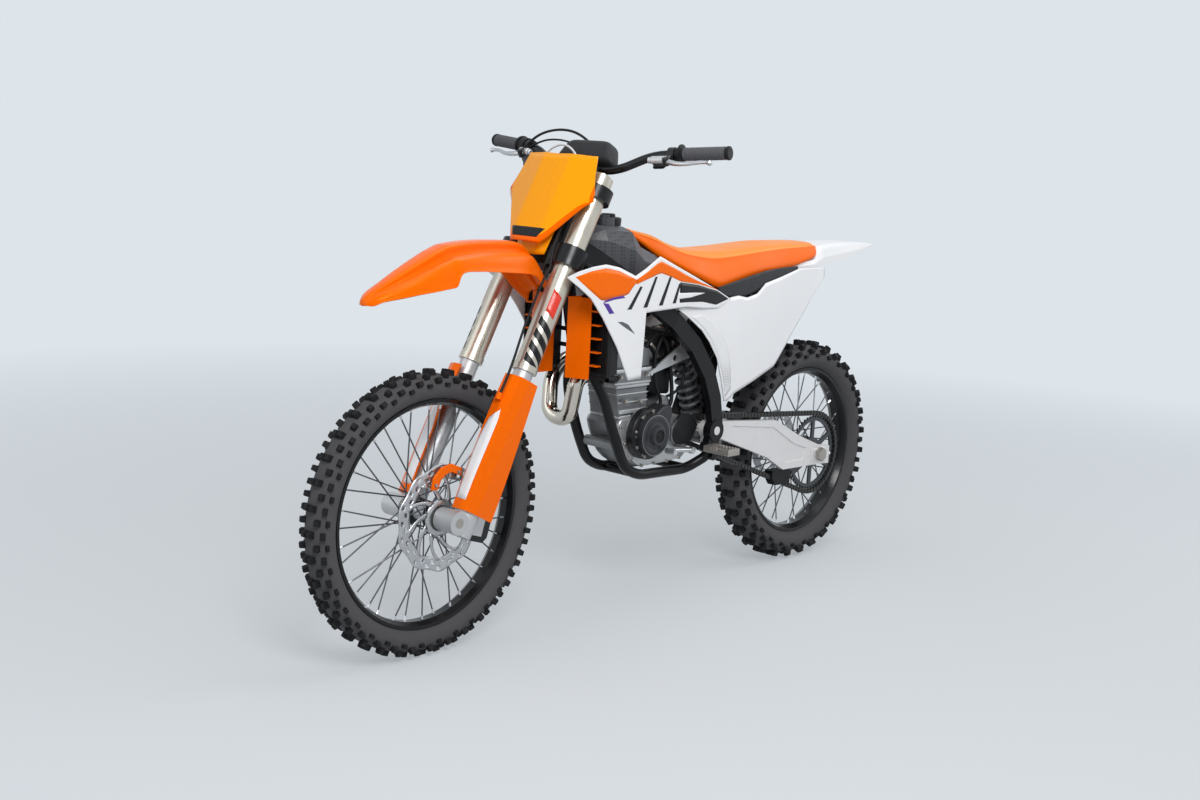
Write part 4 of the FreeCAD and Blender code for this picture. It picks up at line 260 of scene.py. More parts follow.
finishValues = {  # colour, roughness, metallic, shade, size of its blotches in mm, and what else it has
    # carbon black rubber, moulded: the lugs
    "mouldedTyreRubber": ("#19191B", 0.72, 0.0, 0.3, 22, dict(grainMm=1.5, grainDeep=0.2, roughSpread=0.12,
                                                              specular=0.25)),
    # the same rubber, painted paler between the lugs and on the walls: partly dust, partly painted light
    "dustedTyreRubber": ("#545355", 0.78, 0.0, 0.3, 30, dict(grainMm=1.5, grainDeep=0.2, roughSpread=0.1,
                                                             specular=0.25)),
    # black anodised rim, drawn section, semi-gloss
    "blackAnodisedRim": ("#0E0E10", 0.3, 0.3, 0.2, 40, dict(coat=0.1, specular=0.4)),
    # stainless spokes, drawn and dulled
    "drawnSpokeSteel": ("#6E6F72", 0.35, 0.9, 0.3, 25),
    # bright nickel plated brass nipples
    "platedNipple": ("#D9DADC", 0.22, 1.0, 0.1, 8),
    # machined aluminium, left bright
    "machinedHubRing": ("#B9BABC", 0.3, 0.9, 0.15, 16),
    # machined aluminium hub, black anodised
    "blackAnodisedHub": ("#3B3C3F", 0.38, 0.8, 0.25, 20),
    # laser-cut stainless disc, cross-ground
    "groundDiscSteel": ("#C4C5C8", 0.34, 0.95, 0.18, 14, dict(grainMm=1.2, grainDeep=0.04)),
    # oiled roller chain steel
    "oiledChainSteel": ("#4C4B4A", 0.42, 0.85, 0.4, 9),
    # machined sprocket, black anodised aluminium with worn tooth edges
    "machinedSprocket": ("#5A5B5E", 0.4, 0.9, 0.35, 12),
    # satin anodised fork tubes, turned along their length
    "satinAnodisedFork": ("#CDC6B8", 0.3, 0.85, 0.12, 30, dict(stretch=(1, 1, 0.2))),
    # cast aluminium, shot blasted, pale
    "blastedCastAlloy": ("#C9CACB", 0.46, 0.75, 0.14, 18, dict(grainMm=1.6, grainDeep=0.12)),
    # cast and pressed aluminium swingarm, clear anodised, pale
    "paleSwingarmAlloy": ("#E6E4E4", 0.42, 0.3, 0.1, 24, dict(grainMm=1.6, grainDeep=0.08)),
    # die cast engine alloy, dull and grey
    "dieCastEngineAlloy": ("#8F9092", 0.48, 0.75, 0.3, 26, dict(grainMm=2.2, grainDeep=0.2)),
    # black painted casting, satin
    "blackPaintedCasting": ("#1B1B1D", 0.42, 0.2, 0.3, 24, dict(grainMm=2, grainDeep=0.12)),
    # charcoal painted magnesium cover, satin, rubbed by the boot
    "charcoalPaintedCasting": ("#37383B", 0.42, 0.35, 0.3, 30, dict(grainMm=2, grainDeep=0.12)),
    # black anodised clamps and bar
    "blackAnodisedAlloy": ("#151517", 0.33, 0.5, 0.25, 30, dict(coat=0.1)),
    # powder coat on the steel frame, satin with an orange-peel grain
    "blackPowderCoat": ("#121214", 0.36, 0.0, 0.25, 50, dict(grainMm=2.5, grainDeep=0.06, specular=0.25)),
    # injection moulded orange plastic, glossy
    "glossOrangePlastic": ("#FF6C00", 0.28, 0.0, 0.08, 140, dict(grainMm=5, grainDeep=0.02, specular=0.6,
                                                                 tint="#FF9A4A")),
    # orange plastic painted amber: painted light where strong light falls on it
    "paintedLightAmberOrange": ("#FFA400", 0.28, 0.0, 0.05, 120, dict(specular=0.6, tint="#FFC070")),
    # injection moulded white plastic, semi-gloss
    "glossWhitePlastic": ("#F1F1F3", 0.33, 0.0, 0.05, 160, dict(grainMm=4, grainDeep=0.02, coat=0.2)),
    # dark grey nylon, moulded with a fine grain
    "grainedGreyNylon": ("#2A2B2E", 0.5, 0.0, 0.2, 30, dict(grainMm=1.8, grainDeep=0.12, specular=0.3)),
    # black nylon, moulded
    "mouldedBlackNylon": ("#111113", 0.5, 0.0, 0.3, 30, dict(grainMm=2, grainDeep=0.08, specular=0.25)),
    # grey rubber grips, moulded
    "mouldedGripRubber": ("#4B4C50", 0.68, 0.0, 0.2, 14, dict(grainMm=1.5, grainDeep=0.25)),
    # ribbed vinyl seat cover over foam, its top painted a paler orange as painted light
    "ribbedVinylPaintedLight": ("#FF9230", 0.42, 0.0, 0.08, 90, dict(grainMm=2.2, grainDeep=0.2, specular=0.7,
                                                             tint="#FFD0A0")),
    # the seat's sides, smoother vinyl in the plain orange, without the top's painted light
    "smoothSeatVinyl": ("#FF6C00", 0.42, 0.0, 0.08, 90, dict(grainMm=2.4, grainDeep=0.1, specular=0.4,
                                                             tint="#FF9A4A")),
    # pad cover, dark coated cloth
    "coatedPadCloth": ("#242528", 0.62, 0.0, 0.2, 20, dict(grainMm=1.2, grainDeep=0.1, sheen=0.1,
                                                           specular=0.25)),
    # forged levers, tumbled bright
    "forgedLeverAlloy": ("#C7C8CA", 0.3, 0.9, 0.12, 18),
    # header pipe, polished stainless with a straw tint
    "polishedHeaderSteel": ("#D3CCC0", 0.14, 1.0, 0.18, 50),
    # silencer skin, brushed along its length
    "brushedSilencerAlloy": ("#B6B7BA", 0.36, 0.9, 0.14, 6, dict(stretch=(0.08, 1, 1))),
    # stamped foot peg steel, zinc plated
    "zincPlatedSteel": ("#B5AFA8", 0.4, 0.9, 0.25, 10),
    # radiator core, black coated fins
    "blackRadiatorCore": ("#1A1A1C", 0.5, 0.4, 0.4, 6),
    # shock body and spring, powder coated grey
    "coatedSpringSteel": ("#77787B", 0.4, 0.2, 0.3, 16, dict(specular=0.3)),
    # hose and cable sleeves, extruded black rubber
    "blackHoseRubber": ("#111113", 0.5, 0.0, 0.2, 10, dict(specular=0.25)),
    # printed films, smooth and semi-gloss: black, red, violet, slate, orange and white
    "blackPrintFilm": ("#0E0E10", 0.34, 0.0, 0.1, 60.0, dict(specular=0.3)),
    "redPrintFilm": ("#E2331C", 0.32, 0.0, 0.05, 60.0, dict(coat=0.2)),
    "violetPrintFilm": ("#4A1E94", 0.32, 0.0, 0.05, 60.0, dict(coat=0.2)),
    "slatePrintFilm": ("#53555C", 0.36, 0.0, 0.08, 60.0, dict(coat=0.2)),
    "orangePrintFilm": ("#FF6E00", 0.28, 0.0, 0.06, 140, dict(specular=0.5, tint="#FF9A4A")),
    "whitePrintFilm": ("#F3F3F5", 0.3, 0.0, 0.03, 140, dict(coat=0.25)),
    # white plastic with fine rows of dots where the boot grips
    "dottedWhitePlastic": ("#EDEDEF", 0.4, 0.0, 0.05, 160, dict(dotsMm=4.5, coat=0.1)),
    # dark grey tank plastic, moulded with rows of dimples
    "dimpledGreyNylon": ("#4A4B4F", 0.42, 0.0, 0.2, 60, dict(grainMm=1.8, grainDeep=0.1, dotsMm=9.0)),
    # pale nylon sleeve over the clutch line
    "paleHoseSleeve": ("#DADBDA", 0.4, 0.0, 0.1, 12),
}
finishes = {name: newFinish(name, *values[:5], **dict(*values[5:]))
            for name, values in finishValues.items()}

cadFinishes = {  # each finish and the CAD nodes that wear it
    "mouldedTyreRubber": "front_tyre rear_tyre", "blackAnodisedRim": "front_rim rear_rim",
    "drawnSpokeSteel": "front_hub rear_hub", "groundDiscSteel": "front_disc rear_disc",
    "machinedSprocket": "rear_sprocket", "blackAnodisedAlloy": "triple_clamps handlebar",
    "satinAnodisedFork": "fork_tubes", "blastedCastAlloy": "fork_sliders head_stay",
    "zincPlatedSteel": "front_axle foot_pegs rear_axle",
    "glossOrangePlastic": "fork_guards front_fender number_plate radiator_guards",
    "mouldedGripRubber": "grips", "forgedLeverAlloy": "bar_controls foot_controls",
    "coatedPadCloth": "bar_pad", "blackPaintedCasting": "front_caliper rear_caliper",
    "blackHoseRubber": "brake_hose", "blackPowderCoat": "main_frame subframe",
    "paleSwingarmAlloy": "swingarm", "coatedSpringSteel": "shock",
    "dieCastEngineAlloy": "engine_case cylinder_head", "dimpledGreyNylon": "fuel_tank",
    "smoothSeatVinyl": "seat", "glossWhitePlastic": "shrouds side_panels rear_fender",
    "blackRadiatorCore": "radiators", "polishedHeaderSteel": "exhaust_header",
    "brushedSilencerAlloy": "silencer", "oiledChainSteel": "chain",
    "mouldedBlackNylon": "chain_guide airbox",
}
for finishName, nodeNames in cadFinishes.items():
    for nodeName in nodeNames.split():
        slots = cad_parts[nodeName].data.materials
        slots.clear()
        slots.append(finishes[finishName])
print("finishes made:", len(finishes))

# Cords: each is one smooth spline through its route, fixed at both ends to the steering

cordMesh = {"finish": "blackHoseRubber", "bevelSteps": 3, "lineSteps": 8}
# radius in mm, length in metres, and the route by the steering axis: up it, in front of it, to the left
cords = {
    "frontBrakeHose": {"radius": 3.2, "long": 0.234, "node": "brake_hose", "stiffness": "stiff",
                       "route": [(-129.9, 66, 88), (-188.1, 69, 85.5), (-246.3, 69, 86), (-304.5, 69, 87),
                                 (-362.7, 66, 91)]},
    "brakeHoseTop": {"radius": 3.2, "long": 0.132, "stiffness": "stiff",
                     "route": [(0, 60, 70), (-50, 74, 76), (-95, 73, 83), (-129.9, 66, 88)]},
    "brakeHoseFoot": {"radius": 3.2, "long": 0.112, "stiffness": "stiff",
                      "route": [(-362.7, 66, 91), (-400, 66, 94), (-440, 70, 98), (-474, 72, 99)]},
    "throttleCable": {"radius": 3.4, "long": 0.402, "stiffness": "medium",
                      "route": [(222, 2, -236), (246, 6, -214), (264, 10, -172), (273, 8, -120),
                                (268, 0, -70), (248, -22, -28), (214, -42, 4), (170, -46, 18),
                                (128, -30, 24), (106, -8, 26)]},
    "startCable": {"radius": 2.6, "long": 0.328, "stiffness": "medium",
                   "route": [(220, 0, -224), (236, 4, -190), (246, 2, -150), (250, -12, -108),
                             (240, -34, -64), (208, -46, -36), (160, -44, -30), (124, -30, -28),
                             (106, -8, -26)]},
    "clutchLine": {"radius": 2.8, "long": 0.293, "finish": "paleHoseSleeve", "stiffness": "medium",
                   "route": [(106, 20, -58), (128, 38, -84), (156, 52, -97), (184, 58, -88), (200, 60, -60),
                             (203, 60, -36), (192, 58, -6), (168, 54, 22), (134, 42, 32), (106, 22, 30)]},
}
for name, spec in cords.items():
    route = toRow(onFork(*np.array(spec["route"], float).T))
    line = bpy.data.curves.new(name, "CURVE")
    line.dimensions = "3D"
    line.bevel_depth = spec["radius"] / 1000
    line.bevel_resolution = cordMesh["bevelSteps"]
    line.use_fill_caps = True
    spline = line.splines.new("NURBS")
    spline.points.add(len(route) - 1)
    spline.points.foreach_set("co", np.column_stack([route, np.ones(len(route))]).ravel())
    spline.order_u = 3
    spline.use_endpoint_u = True
    spline.resolution_u = cordMesh["lineSteps"]
    line.materials.append(finishes[spec.get("finish", cordMesh["finish"])])
    cord = newObject(name, line)
    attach(cord, "steering")
    if "node" in spec:
        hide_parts(spec["node"])
print("cords made:", len(cords))

# Meshes worked out as arrays

def gridFaces(rows, columns, roundRows=False, roundColumns=False):
    # quads (i, j), (i + 1, j), (i + 1, j + 1), (i, j + 1) of a grid; a round one also joins its last line
    # to its first
    i, j = np.meshgrid(np.arange(rows if roundRows else rows - 1),
                       np.arange(columns if roundColumns else columns - 1), indexing="ij")
    nextI, nextJ = (i + 1) % rows, (j + 1) % columns
    return np.stack([i * columns + j, nextI * columns + j, nextI * columns + nextJ, i * columns + nextJ],
                    -1).reshape(-1, 4)


def smoothPath(points, steps=8):
    # Catmull-Rom: between two points a cubic whose slopes are half of its neighbours' span
    p = np.asarray(points, float)
    p = np.concatenate([2 * p[:1] - p[1:2], p, 2 * p[-1:] - p[-2:-1]])
    t = np.linspace(0, 1, steps, endpoint=False).reshape((steps,) + (1,) * p.ndim)
    a, b, c, d = p[:-3], p[1:-2], p[2:-1], p[3:]
    curve = 0.5 * (2 * b + (c - a) * t + (2 * a - 5 * b + 4 * c - d) * t ** 2
                   + (3 * b - a - 3 * c + d) * t ** 3)
    return np.concatenate([np.moveaxis(curve, 0, 1).reshape((-1,) + p.shape[1:]), p[-2:-1]])


def tubeAlong(path, radius, sides=10):
    # path + radius (cos a one + sin a two), square to the path, its ends drawn to a point
    path = np.asarray(path, float)
    way = np.gradient(path, axis=0)
    way /= np.linalg.norm(way, axis=1, keepdims=True)
    aside = np.eye(3)[np.argmin(np.abs(way).max(axis=0))]
    one = np.cross(way, aside)
    one /= np.linalg.norm(one, axis=1, keepdims=True)
    two = np.cross(way, one)
    turn = np.linspace(0, 2 * np.pi, sides, endpoint=False)
    size = np.broadcast_to(np.asarray(radius, float), len(path))[:, None, None]
    cos, sin = np.cos(turn)[None, :, None], np.sin(turn)[None, :, None]
    rings = path[:, None] + size * (cos * one[:, None] + sin * two[:, None])
    caps = np.stack([np.broadcast_to(path[:1], (sides, 3)), np.broadcast_to(path[-1:], (sides, 3))])
    rings = np.concatenate([caps[:1], rings, caps[1:]])
    return rings.reshape(-1, 3), gridFaces(len(rings), sides, roundColumns=True)


def turned(profile, centre=(0, 0, 0), axis=(0, 1, 0), sides=16):
    # centre + along * axis + radius (cos a one + sin a two), for a profile of (along, radius)
    profile = np.asarray(profile, float)
    axis = np.asarray(axis, float) / np.linalg.norm(axis)
    one = np.cross(axis, [0.37, 0.11, 0.92])
    one /= np.linalg.norm(one)
    two = np.cross(axis, one)
    turn = np.linspace(0, 2 * np.pi, sides, endpoint=False)[:, None, None]
    around = np.cos(turn) * one + np.sin(turn) * two
    rings = np.asarray(centre, float) + profile[:, :1] * axis + profile[:, 1:] * around
    return rings.reshape(-1, 3), gridFaces(sides, len(profile), roundRows=True)


def copiesOf(faces, points, count):  # the faces of a mesh of so many points, repeated for each copy of it
    faces = np.asarray(faces)
    return (faces[None] + (np.arange(count) * points)[:, None, None]).reshape(-1, faces.shape[1])


def atEach(shape, centres, axes=None):
    # centre + x one + y axis + z two, for each point of a small shape about +Y
    points, faces = shape
    centres = np.asarray(centres, float).reshape(-1, 3)
    if axes is None:
        turnedTo = np.broadcast_to(points, (len(centres),) + points.shape)
    else:
        up = np.broadcast_to(np.asarray(axes, float), centres.shape)
        up = up / np.linalg.norm(up, axis=1, keepdims=True)
        spare = np.where(np.abs(up[:, 2:]) > 0.9, [[1.0, 0.0, 0.0]], [[0.0, 0.0, 1.0]])
        one = np.cross(up, spare)
        one /= np.linalg.norm(one, axis=1, keepdims=True)
        two = np.cross(one, up)
        x, y, z = (points[None, :, k:k + 1] for k in range(3))
        turnedTo = x * one[:, None] + y * up[:, None] + z * two[:, None]
    return (turnedTo + centres[:, None]).reshape(-1, 3), copiesOf(faces, len(points), len(centres))


weld = {"merge": 0.00001, "sliver": 0.000005}  # metres


def newPiece(name, parts, body, replaced=None, smooth=40.0, closed=True, wall=0.0):
    # parts are (points in mm, faces, finish or a list of finishes with an index for each face); one object,
    # one mesh
    used, places, quads, marks, start = [], [], [], [], 0
    for points, faces, finish in parts:
        names, index = finish if isinstance(finish, tuple) else ([finish], np.zeros(len(faces), int))
        used += [one for one in names if one not in used]
        places.append(np.asarray(points, float))
        quads.append(np.asarray(faces) + start)
        marks.append(np.array([used.index(one) for one in names])[index])
        start += len(points)
    mesh = bpy.data.meshes.new(name)
    mesh.from_pydata(toRow(np.concatenate(places)).tolist(), [], np.concatenate(quads).tolist())
    mesh.validate()
    for one in used:
        mesh.materials.append(finishes[one])
    marks = np.concatenate(marks)
    if len(mesh.polygons) == len(marks):
        mesh.polygons.foreach_set("material_index", marks)
    loose = bmesh.new()
    loose.from_mesh(mesh)
    bmesh.ops.remove_doubles(loose, verts=loose.verts, dist=weld["merge"])
    bmesh.ops.dissolve_degenerate(loose, edges=loose.edges, dist=weld["sliver"])
    if closed:
        bmesh.ops.recalc_face_normals(loose, faces=loose.faces)
    loose.to_mesh(mesh)
    loose.free()
    piece = newObject(name, mesh)
    mesh.shade_smooth()
    if smooth < 180:
        mesh.set_sharp_from_angle(angle=np.radians(smooth))
    if wall:
        skin = piece.modifiers.new("wall", "SOLIDIFY")
        skin.thickness = wall / 1000
        skin.offset = -1.0
    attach(piece, body)
    if replaced:
        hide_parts(*([replaced] if isinstance(replaced, str) else replaced))
    return piece


# Tyres: a skin turned about the axle, with blocks of rubber set on it in rows

lug = {  # how far a block reaches into the skin, its foot, its top bevel, and its size there as shares
    "root": -3.0, "foot": -0.4, "bevel": 1.4, "shares": (1.1, 1.06, 0.9, 0.78), "sides": 144,
    "bead": (2.0, 5.0),
}
tread = {
    "front": {
        "axle": "frontAxle", "body": "front_wheel", "node": "front_tyre", "tall": 12.5, "pitches": 36,
        "skin": [(0, 335.5), (12, 334.6), (23, 331.2), (31, 325), (35.5, 317), (36.6, 308), (35.6, 299),
                 (31.5, 289), (26.5, 282.5), (20.5, 279.2)],
        "rows": [  # place along the skin from its middle, phase, block length, block width, height share
            (8.6, 0.0, 15, 13.5, 1.0), (23.5, 0.5, 14, 12.5, 1.0), (36.5, 0.02, 15, 12, 0.98),
            (45.5, 0.52, 13, 8.5, 0.62),
        ],
    },
    "rear": {
        "axle": "rearAxle", "body": "rear_wheel", "node": "rear_tyre", "tall": 15.5, "pitches": 30,
        "skin": [(0, 322.0), (16, 321), (30, 316.5), (40, 308), (46.5, 298), (48.2, 288), (46.8, 277),
                 (41, 266), (34, 258.5), (27.5, 255.2)],
        "rows": [
            (10.5, 0.0, 15, 17, 1.0), (30.5, 0.5, 15, 16, 1.0), (47.5, 0.03, 17, 15, 0.98),
            (59.5, 0.53, 14, 10, 0.6),
        ],
    },
}


def tyreSurface(spec):
    # skin: the half profile through Catmull-Rom, mirrored, turned about the axle; blocks: a tapered box of
    # four rings of corners, set at the skin's place and leaning along its normal, at every pitch
    axle = np.array(layout[spec["axle"]])
    half = smoothPath(spec["skin"], 5)
    whole = np.concatenate([half[::-1] * [-1, 1], half[1:]])
    bead = half[-1] - lug["bead"]
    # the skin in the paler copy of the lugs' rubber: partly dust, partly painted light
    parts = [turned(np.concatenate([whole, [bead, bead * [-1, 1]], whole[:1]]), axle, across, lug["sides"])
             + ("dustedTyreRubber",)]
    along = np.concatenate([[0], np.cumsum(np.linalg.norm(np.diff(half, axis=0), axis=1))])
    rows = np.array([row if side > 0 else (-row[0],) + row[1:] for row in spec["rows"] for side in (1, -1)])
    s, side = np.abs(rows[:, 0]), np.sign(rows[:, 0])
    at = np.stack([np.interp(s, along, half[:, k]) for k in (0, 1)], -1)
    ahead = np.stack([np.interp(s + 1, along, half[:, k]) for k in (0, 1)], -1)
    run = ahead - at
    run /= np.linalg.norm(run, axis=1, keepdims=True)
    out = np.stack([-run[:, 1], run[:, 0]], -1)
    corners = np.array([(-1, -1), (1, -1), (1, 1), (-1, 1)])
    rings = zip((lug["root"], lug["foot"], spec["tall"] - lug["bevel"], spec["tall"]), lug["shares"])
    local = np.array([(a * share, b * share, rise) for rise, share in rings for a, b in corners])
    size = rows[:, 2:4] / 2
    lengths = local[None, :, 0] * size[:, :1]
    widths = local[None, :, 1] * size[:, 1:]
    rise = local[:, 2][None] * np.where(local[None, :, 2] > 0, rows[:, 4:5], 1.0)
    left = (at[:, :1] + run[:, :1] * widths + out[:, :1] * rise) * side[:, None]
    radius = at[:, 1:] + run[:, 1:] * widths + out[:, 1:] * rise
    turn = 2 * np.pi * (np.arange(spec["pitches"])[:, None, None] + rows[None, :, 1:2]) / spec["pitches"]
    turn = turn + lengths[None] / radius[None]
    x, z = radius[None] * np.sin(turn), radius[None] * np.cos(turn)
    y = np.broadcast_to(left[None], turn.shape)
    points = axle + np.stack([x, y, z], -1).reshape(-1, 3)
    ringFaces = np.concatenate([gridFaces(4, 4, roundColumns=True), [[12, 13, 14, 15], [3, 2, 1, 0]]])
    return parts + [(points, copiesOf(ringFaces, len(local), len(points) // len(local)),
                     "mouldedTyreRubber")]


for end, spec in tread.items():
    newPiece(f"{end}TyreCover", tyreSurface(spec), spec["body"], spec["node"], smooth=32)
print("tyres made")

# Wheels: turned hubs, and spokes laced evenly from flange to rim with a nipple at each

laced = {
    "wire": 1.9, "nipple": 3.3, "nippleLong": 15.0, "sides": 8, "stagger": 2.2, "brightRows": (10, 11),
    "front": {"axle": "frontAxle", "body": "front_wheel", "node": "front_hub", "count": 36, "rim": 262.0,
              "lace": 62.0, "hole": 31.0, "flangeLeft": 34.0, "rimLeft": 5.0,
              "hub": [(-40, 12.1), (-40, 20), (-38.5, 21.5), (-37, 21.5), (-37, 33.5), (-35.8, 35),
                      (-32.2, 35), (-31, 33.5), (-30.5, 26), (-27, 21.5), (-18, 19.5), (18, 19.5),
                      (27, 21.5), (30.5, 26), (31, 33.5), (32.2, 35), (35.8, 35), (37, 33.5), (37, 24),
                      (46, 24), (47.5, 30), (49, 31.5), (54, 31.5), (56, 30), (56, 12.1)]},
    "rear": {"axle": "rearAxle", "body": "rear_wheel", "node": "rear_hub", "count": 32, "rim": 236.0,
             "lace": 67.5, "hole": 42.5, "flangeLeft": 42.0, "rimLeft": 5.0,
             "hub": [(-67, 12.6), (-67, 34), (-65.5, 36), (-60, 36), (-57, 32), (-45, 32), (-45, 45.5),
                     (-43.8, 47), (-40.2, 47), (-39, 45.5), (-38, 36), (-33, 30), (-20, 27.5), (20, 27.5),
                     (33, 30), (38, 36), (39, 45.5), (40.2, 47), (43.8, 47), (45, 45.5), (45, 36), (57, 36),
                     (60, 40), (65, 40), (66.5, 38), (66.5, 12.6)]},
}


def lacedWheel(spec):
    # nipples stand evenly round the rim, left and right flange by turns; each wire runs to a hole of its
    # flange that is turned by the lace angle, one way and the other by turns
    axle = np.array(layout[spec["axle"]])
    n = np.arange(spec["count"])
    side = np.where(n % 2 == 0, 1, -1)
    lean = np.where((n // 2) % 2 == 0, 1, -1)
    tip = 2 * np.pi * n / spec["count"]
    root = tip + lean * np.radians(spec["lace"])

    def place(turn, radius, left):  # axle + (radius sin a, left, radius cos a)
        return axle + np.stack([radius * np.sin(turn), left + 0 * turn, radius * np.cos(turn)], -1)

    starts = place(root, spec["hole"], side * (spec["flangeLeft"] + lean * laced["stagger"]))
    ends = place(tip, spec["rim"] + 2, side * spec["rimLeft"])
    ways = ends - starts
    span = np.linalg.norm(ways, axis=1).mean()
    thin, wide, tip = laced["wire"], laced["nipple"], laced["nippleLong"]
    wire = turned([(-3, 0), (-3, thin * 1.5), (0.5, thin * 1.5), (3, thin), (span, thin), (span, 0)],
                  sides=laced["sides"])
    nipple = turned([(-2, 0), (-2, wide), (1.5, wide * 1.25), (4, wide), (tip - 2, wide * 0.8), (tip, 0)],
                    sides=laced["sides"])
    hub = turned(spec["hub"] + spec["hub"][:1], axle, across, 48)
    bright = np.isin(np.arange(len(hub[1])) % len(spec["hub"]), laced["brightRows"])
    return [hub + ((["blackAnodisedHub", "machinedHubRing"], bright.astype(int)),),
            atEach(wire, starts, ways) + ("drawnSpokeSteel",),
            atEach(nipple, ends, -ways) + ("platedNipple",)]


for end in ("front", "rear"):
    newPiece(f"{end}LacedHub", lacedWheel(laced[end]), laced[end]["body"], laced[end]["node"])
print("wheels laced")

# The front disc: a waved ring with two rows of slots, on slanted arms from its carrier

disc = {"left": 59.0, "wall": 3.0, "inner": 99.0, "outer": 131.0, "wave": 6.0, "waves": 10, "perWave": 24,
        "slant": 0.05, "levels": [0, 0.2, 0.42, 0.58, 0.8, 1],
        "slots": {1: [(2, 6), (14, 18)], 3: [(8, 12), (20, 24)]}, "carrier": (21.0, 46.0, 60),
        "arm": (44.0, 103.0, 4.2, 16.0, 9), "armProud": 0.25}


def waveDisc(spec):
    # ring: angle by share of its width, both edges waved by a cosine; cells of the slots are left out;
    # arms: strips whose angle grows with the radius, wider at both ends
    axle = np.array(layout["frontAxle"]) + spec["left"] * across

    def flat(turn, radius):  # axle + (radius sin a, left, radius cos a)
        points = axle + np.stack([radius * np.sin(turn), 0 * turn, radius * np.cos(turn)], -1)
        return points.reshape(-1, 3)

    count = spec["waves"] * spec["perWave"]
    turn = 2 * np.pi * np.arange(count)[:, None] / count
    share = np.array(spec["levels"])[None]
    dip = 0.5 - 0.5 * np.cos(spec["waves"] * turn)
    inner, outer = spec["inner"] - spec["wave"] * dip * 0.8, spec["outer"] - spec["wave"] * dip
    radius = inner * (1 - share) + outer * share
    faces = gridFaces(count, len(spec["levels"]), roundRows=True)[:, ::-1]
    row, column = np.divmod(np.arange(len(faces)), len(spec["levels"]) - 1)
    row = row % spec["perWave"]
    keep = np.ones(len(faces), bool)
    for level, spans in spec["slots"].items():
        for first, last in spans:
            keep &= ~((column == level) & (row >= first) & (row < last))
    parts = [(flat(turn + spec["slant"] * share, radius), faces[keep], "groundDiscSteel")]
    low, high, count = spec["carrier"]
    turn, radius = np.meshgrid(2 * np.pi * np.arange(count) / count, [low, high], indexing="ij")
    parts.append((flat(turn, radius), gridFaces(count, 2, roundRows=True)[:, ::-1], "machinedHubRing"))
    low, high, half, slant, steps = spec["arm"]
    radius, edge, start = np.meshgrid(np.linspace(low, high, steps), [-1.0, 0.0, 1.0],
                                      2 * np.pi * (np.arange(spec["waves"]) + 0.5) / spec["waves"],
                                      indexing="ij")
    bow = 2 * (radius - low) / (high - low) - 1
    turn = start + np.radians(slant) * bow + edge * half * (1 + 0.8 * bow ** 2) / radius
    points = np.moveaxis(flat(turn, radius).reshape(steps, 3, spec["waves"], 3), 2, 0).reshape(-1, 3)
    faces = copiesOf(gridFaces(steps, 3), 3 * steps, spec["waves"])
    return parts + [(points + spec["armProud"] * across, faces, "machinedHubRing")]


newPiece("frontWaveDisc", waveDisc(disc), "front_wheel", "front_disc", closed=False,
         wall=disc["wall"])
print("front disc made")

# Seat: foam under a sewn cover

seatShape = {
    "stations": [  # place, half width at the top and at the base, cover's lower edge, base, top
        (26, 42, 48, 958, 958, 969), (60, 61, 72, 936, 936, 973.5), (140, 67, 81, 918, 925, 974.5),
        (239, 73, 90, 904, 915.5, 974), (340, 77, 96, 898, 908, 968), (419, 79, 99, 886, 901, 962.5),
        (480, 78, 101, 873, 899, 959.5), (535, 76, 101.5, 862, 896, 958), (578, 74, 99, 874, 894, 959),
        (620, 71, 95, 890, 899, 962), (661, 66, 88, 906, 908, 968), (712, 58, 76, 928, 932, 981),
        (762, 50, 64, 950, 956, 1000), (812, 40, 51, 981, 984, 1010), (840, 34, 42, 998, 998, 1016),
    ],
    "seamDeep": 1.3, "seamAt": 4, "crown": 5.0, "fill": 0.9, "stepsAcross": 3, "stepsAlong": 5,
    # the ends' rings: share of the section, and how far out
    "nose": [(0.0, -7.5), (0.55, -7.0), (0.86, -5.0)],
    "tail": [(0.86, 2.0), (0.55, 2.8), (0.0, 3.0)],
}


def seatSurface(spec):
    # half sections from the crown down the side to the base, by shares of each station's widths and
    # heights, made smooth across and along, then mirrored; the ends shrink to their middle
    x, top, low, edge, base, high = np.array(spec["stations"], float).T
    zero = np.zeros_like(x)
    deep = high - edge
    side = [(zero, high + spec["crown"]), (top * 0.38, high + spec["crown"] * 0.9),
            (top * 0.72, high + spec["crown"] * 0.45), (top * 0.94, high - 3.0),
            (top * 1.04, high - deep * 0.16), (top * 1.075, high - deep * 0.27),
            (top + (low - top) * 0.55 + 3.5, high - deep * 0.55), (low + 1.2, high - deep * 0.82),
            (low, edge + 3.0), (low - 3.0, edge), (low - 8.0, edge + 1.5), (low - 10.0, base + 1.0)]
    section = np.stack([np.stack([x, a, b], -1) for a, b in side])
    lines = smoothPath(np.moveaxis(smoothPath(section, spec["stepsAcross"]), 1, 0), spec["stepsAlong"])
    seam = spec["seamAt"] * spec["stepsAcross"]
    lines[:, seam, 1] -= spec["seamDeep"]
    lines[:, seam, 2] -= spec["seamDeep"] * 0.5
    ring = np.concatenate([lines, lines[:, ::-1] * [1, -1, 1]], 1)
    middle = ring.mean(axis=1, keepdims=True)
    first = [middle[:1] + (ring[:1] - middle[:1]) * share + [step, 0, 0] for share, step in spec["nose"]]
    last = [middle[-1:] + (ring[-1:] - middle[-1:]) * share + [step, 0, 0] for share, step in spec["tail"]]
    ring = np.concatenate(first + [ring] + last)
    faces = gridFaces(len(ring), ring.shape[1], roundColumns=True)
    column = np.tile(np.arange(ring.shape[1]), len(ring) - 1)
    # the top's faces take the paler vinyl: painted light
    onTop = (column < seam) | (column >= ring.shape[1] - seam - 1)
    onTop &= column != ring.shape[1] // 2 - 1
    return [(ring.reshape(-1, 3), faces, (["smoothSeatVinyl", "ribbedVinylPaintedLight"], onTop.astype(int)))]


